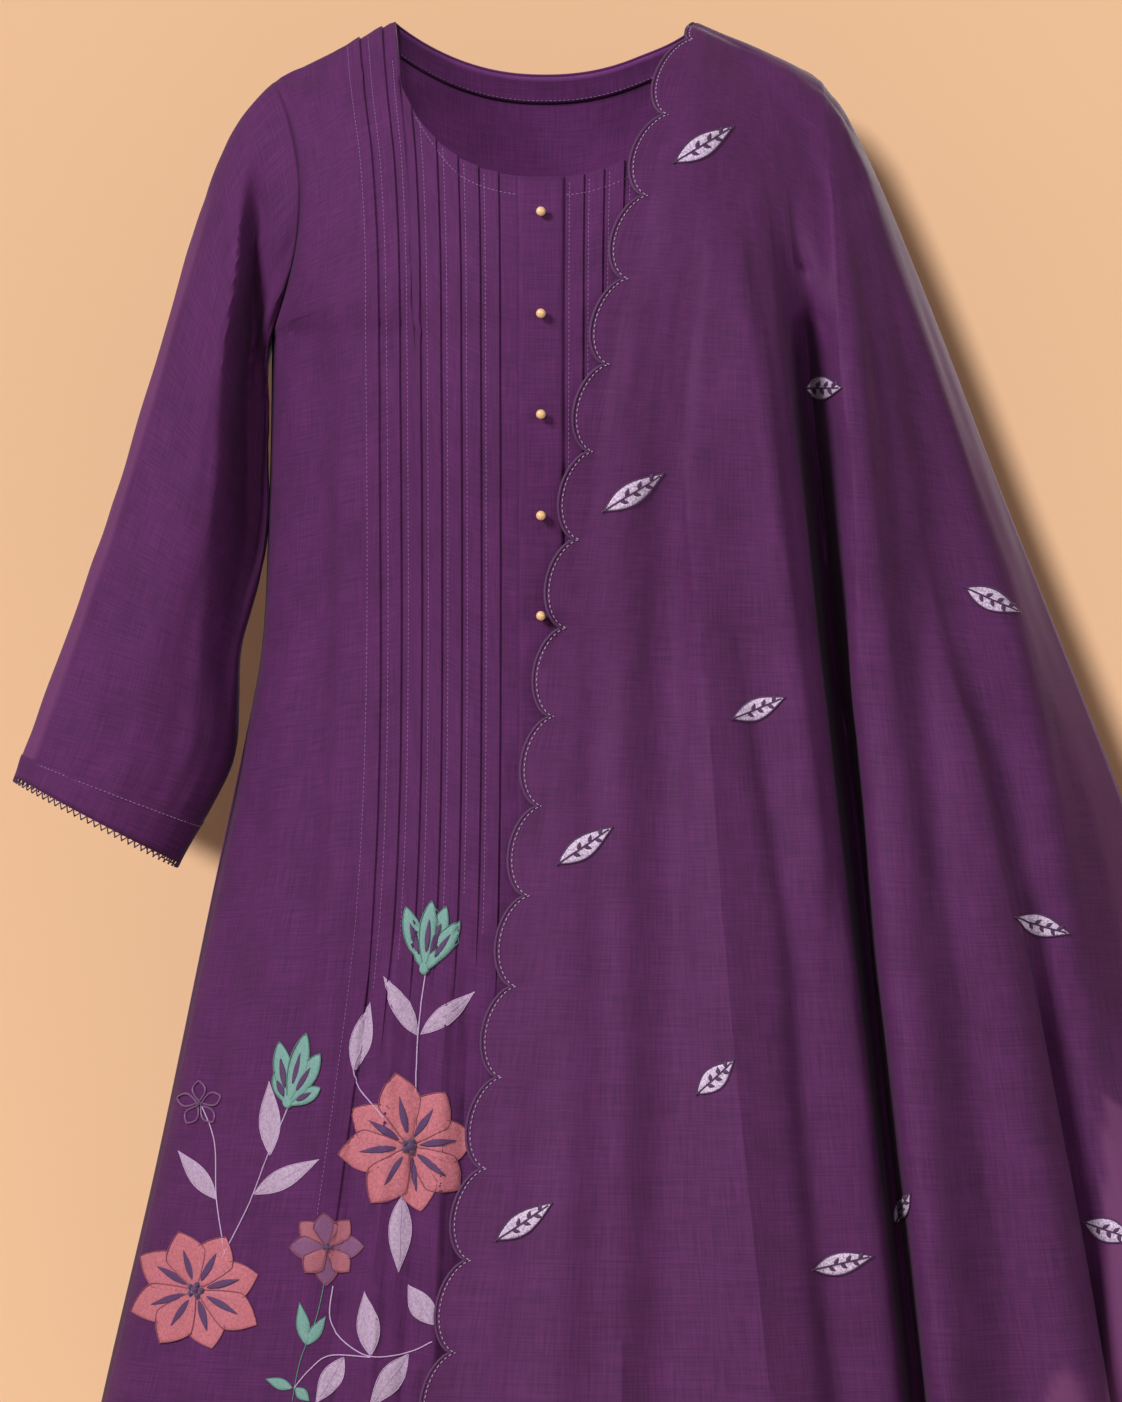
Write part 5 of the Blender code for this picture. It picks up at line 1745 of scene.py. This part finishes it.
def lit_pieces(name, pieces, kept_out=False):
    """The pieces that a lamp lights, or with kept_out those that it doesn't."""
    made = bpy.data.collections.new(name)
    for piece in pieces:
        made.objects.link(piece)
    if kept_out:
        for row in made.collection_objects:
            row.light_linking.link_state = "EXCLUDE"
    return made


def lamp(name, kind, way, energy, lights, **settings):
    """A lamp that shines along the given way."""
    data = bpy.data.lights.new(name, kind)
    data.energy = energy
    made = bpy.data.objects.new(name, data)
    made.rotation_euler = way.to_track_quat("-Z", "Y").to_euler()
    made.light_linking.receiver_collection = lights
    bpy.context.scene.collection.objects.link(made)
    for setting, value in settings.items():
        setattr(data if hasattr(data, setting) else made, setting, value)


def build_stage():
    """Backdrop, floor, lights and the camera."""
    colours = bpy.context.scene.kurti_colours
    paper, shader = matt("matt_backdrop_paper", colours.backdrop, 3.0, 0.02)
    shader.inputs["Roughness"].default_value = 0.95
    shader.inputs["Specular IOR Level"].default_value = 0.1
    sides = add_node(paper, "ShaderNodeNewGeometry")
    clear = add_node(paper, "ShaderNodeBsdfTransparent")
    both = add_node(
        paper, "ShaderNodeMixShader",
        {0: sides.outputs["Backfacing"], 1: shader.outputs[0], 2: clear.outputs[0]},
    )
    paper.node_tree.links.new(both.outputs[0], paper.node_tree.nodes["Material Output"].inputs["Surface"])
    mesh = bmesh.new()
    bmesh.ops.create_grid(mesh, x_segments=2, y_segments=2, size=2.2)
    bmesh.ops.rotate(mesh, verts=mesh.verts, matrix=turn_x(90))
    bmesh.ops.translate(mesh, verts=mesh.verts, vec=(0, 0.26, -0.35))
    backdrop = stage_piece("backdrop", mesh, paper)
    backdrop.visible_shadow = False
    backdrop.visible_diffuse = False

    pale, shader = matt("pale_painted_floor", colours.floor, 5.0, 0.03)
    shader.inputs["Roughness"].default_value = 0.9
    mesh = bmesh.new()
    bmesh.ops.create_circle(mesh, cap_ends=True, segments=96, radius=1.5)
    bmesh.ops.translate(mesh, verts=mesh.verts, vec=(0, 0, -1.45))
    floor = stage_piece("floor", mesh, pale)

    middle = Vector((0, 0, -0.45))
    set_alone = lit_pieces("all_but_backdrop", [backdrop], kept_out=True)
    for name, where, size, energy in (
        ("key_softbox", (-2.7, -2.9, 1.8), 1.2, 215),
        ("fill_softbox", (0.5, -4.6, 0.7), 1.6, 32),
        ("side_softbox", (3.0, -2.6, 0.3), 2.0, 36),
        ("back_softbox", (1.6, 3.4, 1.2), 1.8, 75),
    ):
        lamp(name, "AREA", middle - Vector(where), energy, set_alone, size=size, location=where)
    wall = lit_pieces("backdrop_alone", [backdrop])
    lamp("wall_light", "SUN", Vector((0.165, 1, -0.07)), 2.6, wall, angle=math.radians(4.5))
    where = Vector((-0.15, -1.5, 0.5))
    necks = [bpy.data.objects[name] for name in ("kurti_back_cloth", "neck_facing_band")]
    inside = lit_pieces("inside_neck", necks)
    lamp("neck_light", "AREA", Vector((0, 0.1, -0.08)) - where, 31, inside, size=0.5, location=where)
    world = bpy.data.worlds.new("studio")
    world.use_nodes = True
    ground = world.node_tree.nodes["Background"]
    ground.inputs["Color"].default_value = (*linear("#f6ece6"), 1)
    ground.inputs["Strength"].default_value = 0.28
    bpy.context.scene.world = world
    bpy.context.scene.view_settings.view_transform = "Standard"

    lens = bpy.data.cameras.new("camera")
    lens.sensor_width = 36
    lens.lens = lens.sensor_width * -CAMERA_AT.y / CAMERA_HEIGHT
    camera = bpy.data.objects.new("camera", lens)
    camera.location = CAMERA_AT
    camera.rotation_euler = (math.radians(90), 0, 0)
    bpy.context.scene.collection.objects.link(camera)
    bpy.context.scene.camera = camera


def size_property(name, description, default):
    return bpy.props.FloatProperty(
        name=name, description=description, default=default, min=0.0, precision=5,
        subtype="DISTANCE", unit="LENGTH",
    )


def colour_property(name, description, code):
    return bpy.props.FloatVectorProperty(
        name=name, description=description, default=linear(code), size=3, min=0.0, max=1.0, subtype="COLOR"
    )


class KurtiSizes(bpy.types.PropertyGroup):
    """Sizes of the cloth and sewing."""

    cloth_thickness: size_property("Cloth thickness", "Thickness of the cotton and the voile", 0.0007)
    tuck_height: size_property("Tuck height", "How far a pin tuck's fold stands up", 0.0014)
    wave_height: size_property("Wave height", "Height of the soft waves in the cloth", 0.0012)
    crease_share: bpy.props.FloatProperty(
        name="Creases", description="Share of each crease's height", default=1.0, min=0.0, max=2.0,
        subtype="FACTOR",
    )
    stitch_length: size_property("Stitch length", "Length of one stitch", 0.0017)
    stitch_gap: size_property("Stitch gap", "Gap between two stitches", 0.0013)
    stitch_inset: size_property("Stitch inset", "How far the stitches lie inside a piped edge", 0.0026)
    piping_radius: size_property("Piping radius", "Radius of the piping round the scallops", 0.0010)
    lace_pitch: size_property("Lace pitch", "Width of one loop of the cuffs' lace", 0.0050)
    lace_depth: size_property("Lace depth", "How far a loop of the lace hangs", 0.0042)
    lace_thread: size_property("Lace thread", "Radius of the lace's thread", 0.00048)


class KurtiColours(bpy.types.PropertyGroup):
    """Colours of the cloth, threads and stage."""

    kurti: colour_property("Kurti", "Lighter threads of the kurti's cotton", "#552256")
    kurti_shade: colour_property("Kurti shade", "Darker threads of the kurti's cotton", "#401942")
    dupatta: colour_property("Dupatta", "Lighter threads of the dupatta's voile", "#562456")
    dupatta_shade: colour_property("Dupatta shade", "Darker threads of the dupatta's voile", "#421a44")
    # Painted light: the lighter colour that stands in for light coming through a single layer
    painted_light_through: colour_property("Sheer", "Cloth with light coming through it", "#6c3a64")
    thread: colour_property("Sewing thread", "Thread of the tucks, hems and facing", "#82568a")
    edge_thread: colour_property("Edge thread", "Thread along the scallops", "#a989ae")
    piping: colour_property("Piping", "Cord round the scallops", "#4b1f4e")
    lace: colour_property("Lace", "Loop lace at the cuffs", "#41204a")
    button: colour_property("Button", "Pearl of the buttons", "#e3b885")
    lilac: colour_property("Lilac", "Leaves of the spray", "#a58da7")
    leaf_fill: colour_property("Leaf fill", "Embroidered leaves on the dupatta", "#cbb5d2")
    stem: colour_property("Stems", "Thread of the stems", "#b597bd")
    coral: colour_property("Coral", "Petals", "#ad5e6a")
    coral_edge: colour_property("Coral edge", "Thread round the petals", "#7f3c4e")
    sheer_coral: colour_property("Sheer coral", "The small sheer flower", "#93505f")
    sheer_purple: colour_property("Sheer purple", "Every other petal of the small sheer flower", "#6f3f68")
    mint: colour_property("Mint", "Buds and small leaves", "#679089")
    mint_edge: colour_property("Mint edge", "Thread round the buds", "#4d7d72")
    slit: colour_property("Slits", "Satin stitch inside the petals", "#472353")
    beads: colour_property("Beads", "Beads of the outlined flower", "#6d4470")
    dark: colour_property("Plum thread", "Edges and veins of the dupatta's leaves", "#45204b")
    backdrop: colour_property("Backdrop", "Paper behind the set", "#e6bb94")
    floor: colour_property("Floor", "Pale floor", "#d6c8ba")


class KURTI_OT_panels(bpy.types.Operator):
    """Make the kurti's front, back, placket and neck facing, with their sewing"""

    bl_idname = "kurti.panels"
    bl_label = "Panels"

    def execute(self, context):
        back, facing, placket = build_panels()
        hems = build_panel_sewing()
        return {"FINISHED"}


class KURTI_OT_buttons(bpy.types.Operator):
    """Make the five pearl buttons"""

    bl_idname = "kurti.buttons"
    bl_label = "Buttons"

    def execute(self, context):
        build_buttons()
        return {"FINISHED"}


class KURTI_OT_sleeves(bpy.types.Operator):
    """Make both sleeves with their hem bands and loop lace"""

    bl_idname = "kurti.sleeves"
    bl_label = "Sleeves"

    def execute(self, context):
        for side in (-1, 1):
            piece, sewing, lace = build_sleeve(side)
        return {"FINISHED"}


class KURTI_OT_dupatta(bpy.types.Operator):
    """Make the dupatta's falls, piping and embroidered leaves"""

    bl_idname = "kurti.dupatta"
    bl_label = "Dupatta"

    def execute(self, context):
        made, arm = build_dupatta()
        piping = build_piping(made)
        leaves = build_leaves()
        return {"FINISHED"}


class KURTI_OT_applique(bpy.types.Operator):
    """Make the spray of flowers on the kurti's front"""

    bl_idname = "kurti.applique"
    bl_label = "Applique"

    def execute(self, context):
        sewn = [bpy.data.objects["tuck_stitches"]] + build_applique()
        return {"FINISHED"}


class KURTI_OT_stage(bpy.types.Operator):
    """Make the backdrop, floor, lights and camera"""

    bl_idname = "kurti.stage"
    bl_label = "Stage"

    def execute(self, context):
        build_stage()
        return {"FINISHED"}


OPERATORS = (
    KURTI_OT_panels, KURTI_OT_buttons, KURTI_OT_sleeves, KURTI_OT_dupatta, KURTI_OT_applique, KURTI_OT_stage,
)


class KURTI_PT_panel(bpy.types.Panel):
    """Steps, sizes and colours of the kurti set"""

    bl_label = "Kurti set"
    bl_idname = "KURTI_PT_panel"
    bl_space_type = "VIEW_3D"
    bl_region_type = "UI"
    bl_category = "Kurti set"

    def draw(self, context):
        for operator in OPERATORS:
            self.layout.operator(operator.bl_idname)
        for group in (context.scene.kurti_sizes, context.scene.kurti_colours):
            for name in group.__annotations__:
                self.layout.prop(group, name)


CLASSES = (KurtiSizes, KurtiColours, *OPERATORS, KURTI_PT_panel)


def register():
    for made in CLASSES:
        bpy.utils.register_class(made)
    bpy.types.Scene.kurti_sizes = bpy.props.PointerProperty(type=KurtiSizes)
    bpy.types.Scene.kurti_colours = bpy.props.PointerProperty(type=KurtiColours)


def unregister():
    del bpy.types.Scene.kurti_sizes
    del bpy.types.Scene.kurti_colours
    for made in reversed(CLASSES):
        bpy.utils.unregister_class(made)


def main():
    register()
    for operator in (
        bpy.ops.kurti.panels, bpy.ops.kurti.buttons, bpy.ops.kurti.sleeves, bpy.ops.kurti.dupatta,
        bpy.ops.kurti.applique, bpy.ops.kurti.stage,
    ):
        operator()


if __name__ == "__main__":
    main()
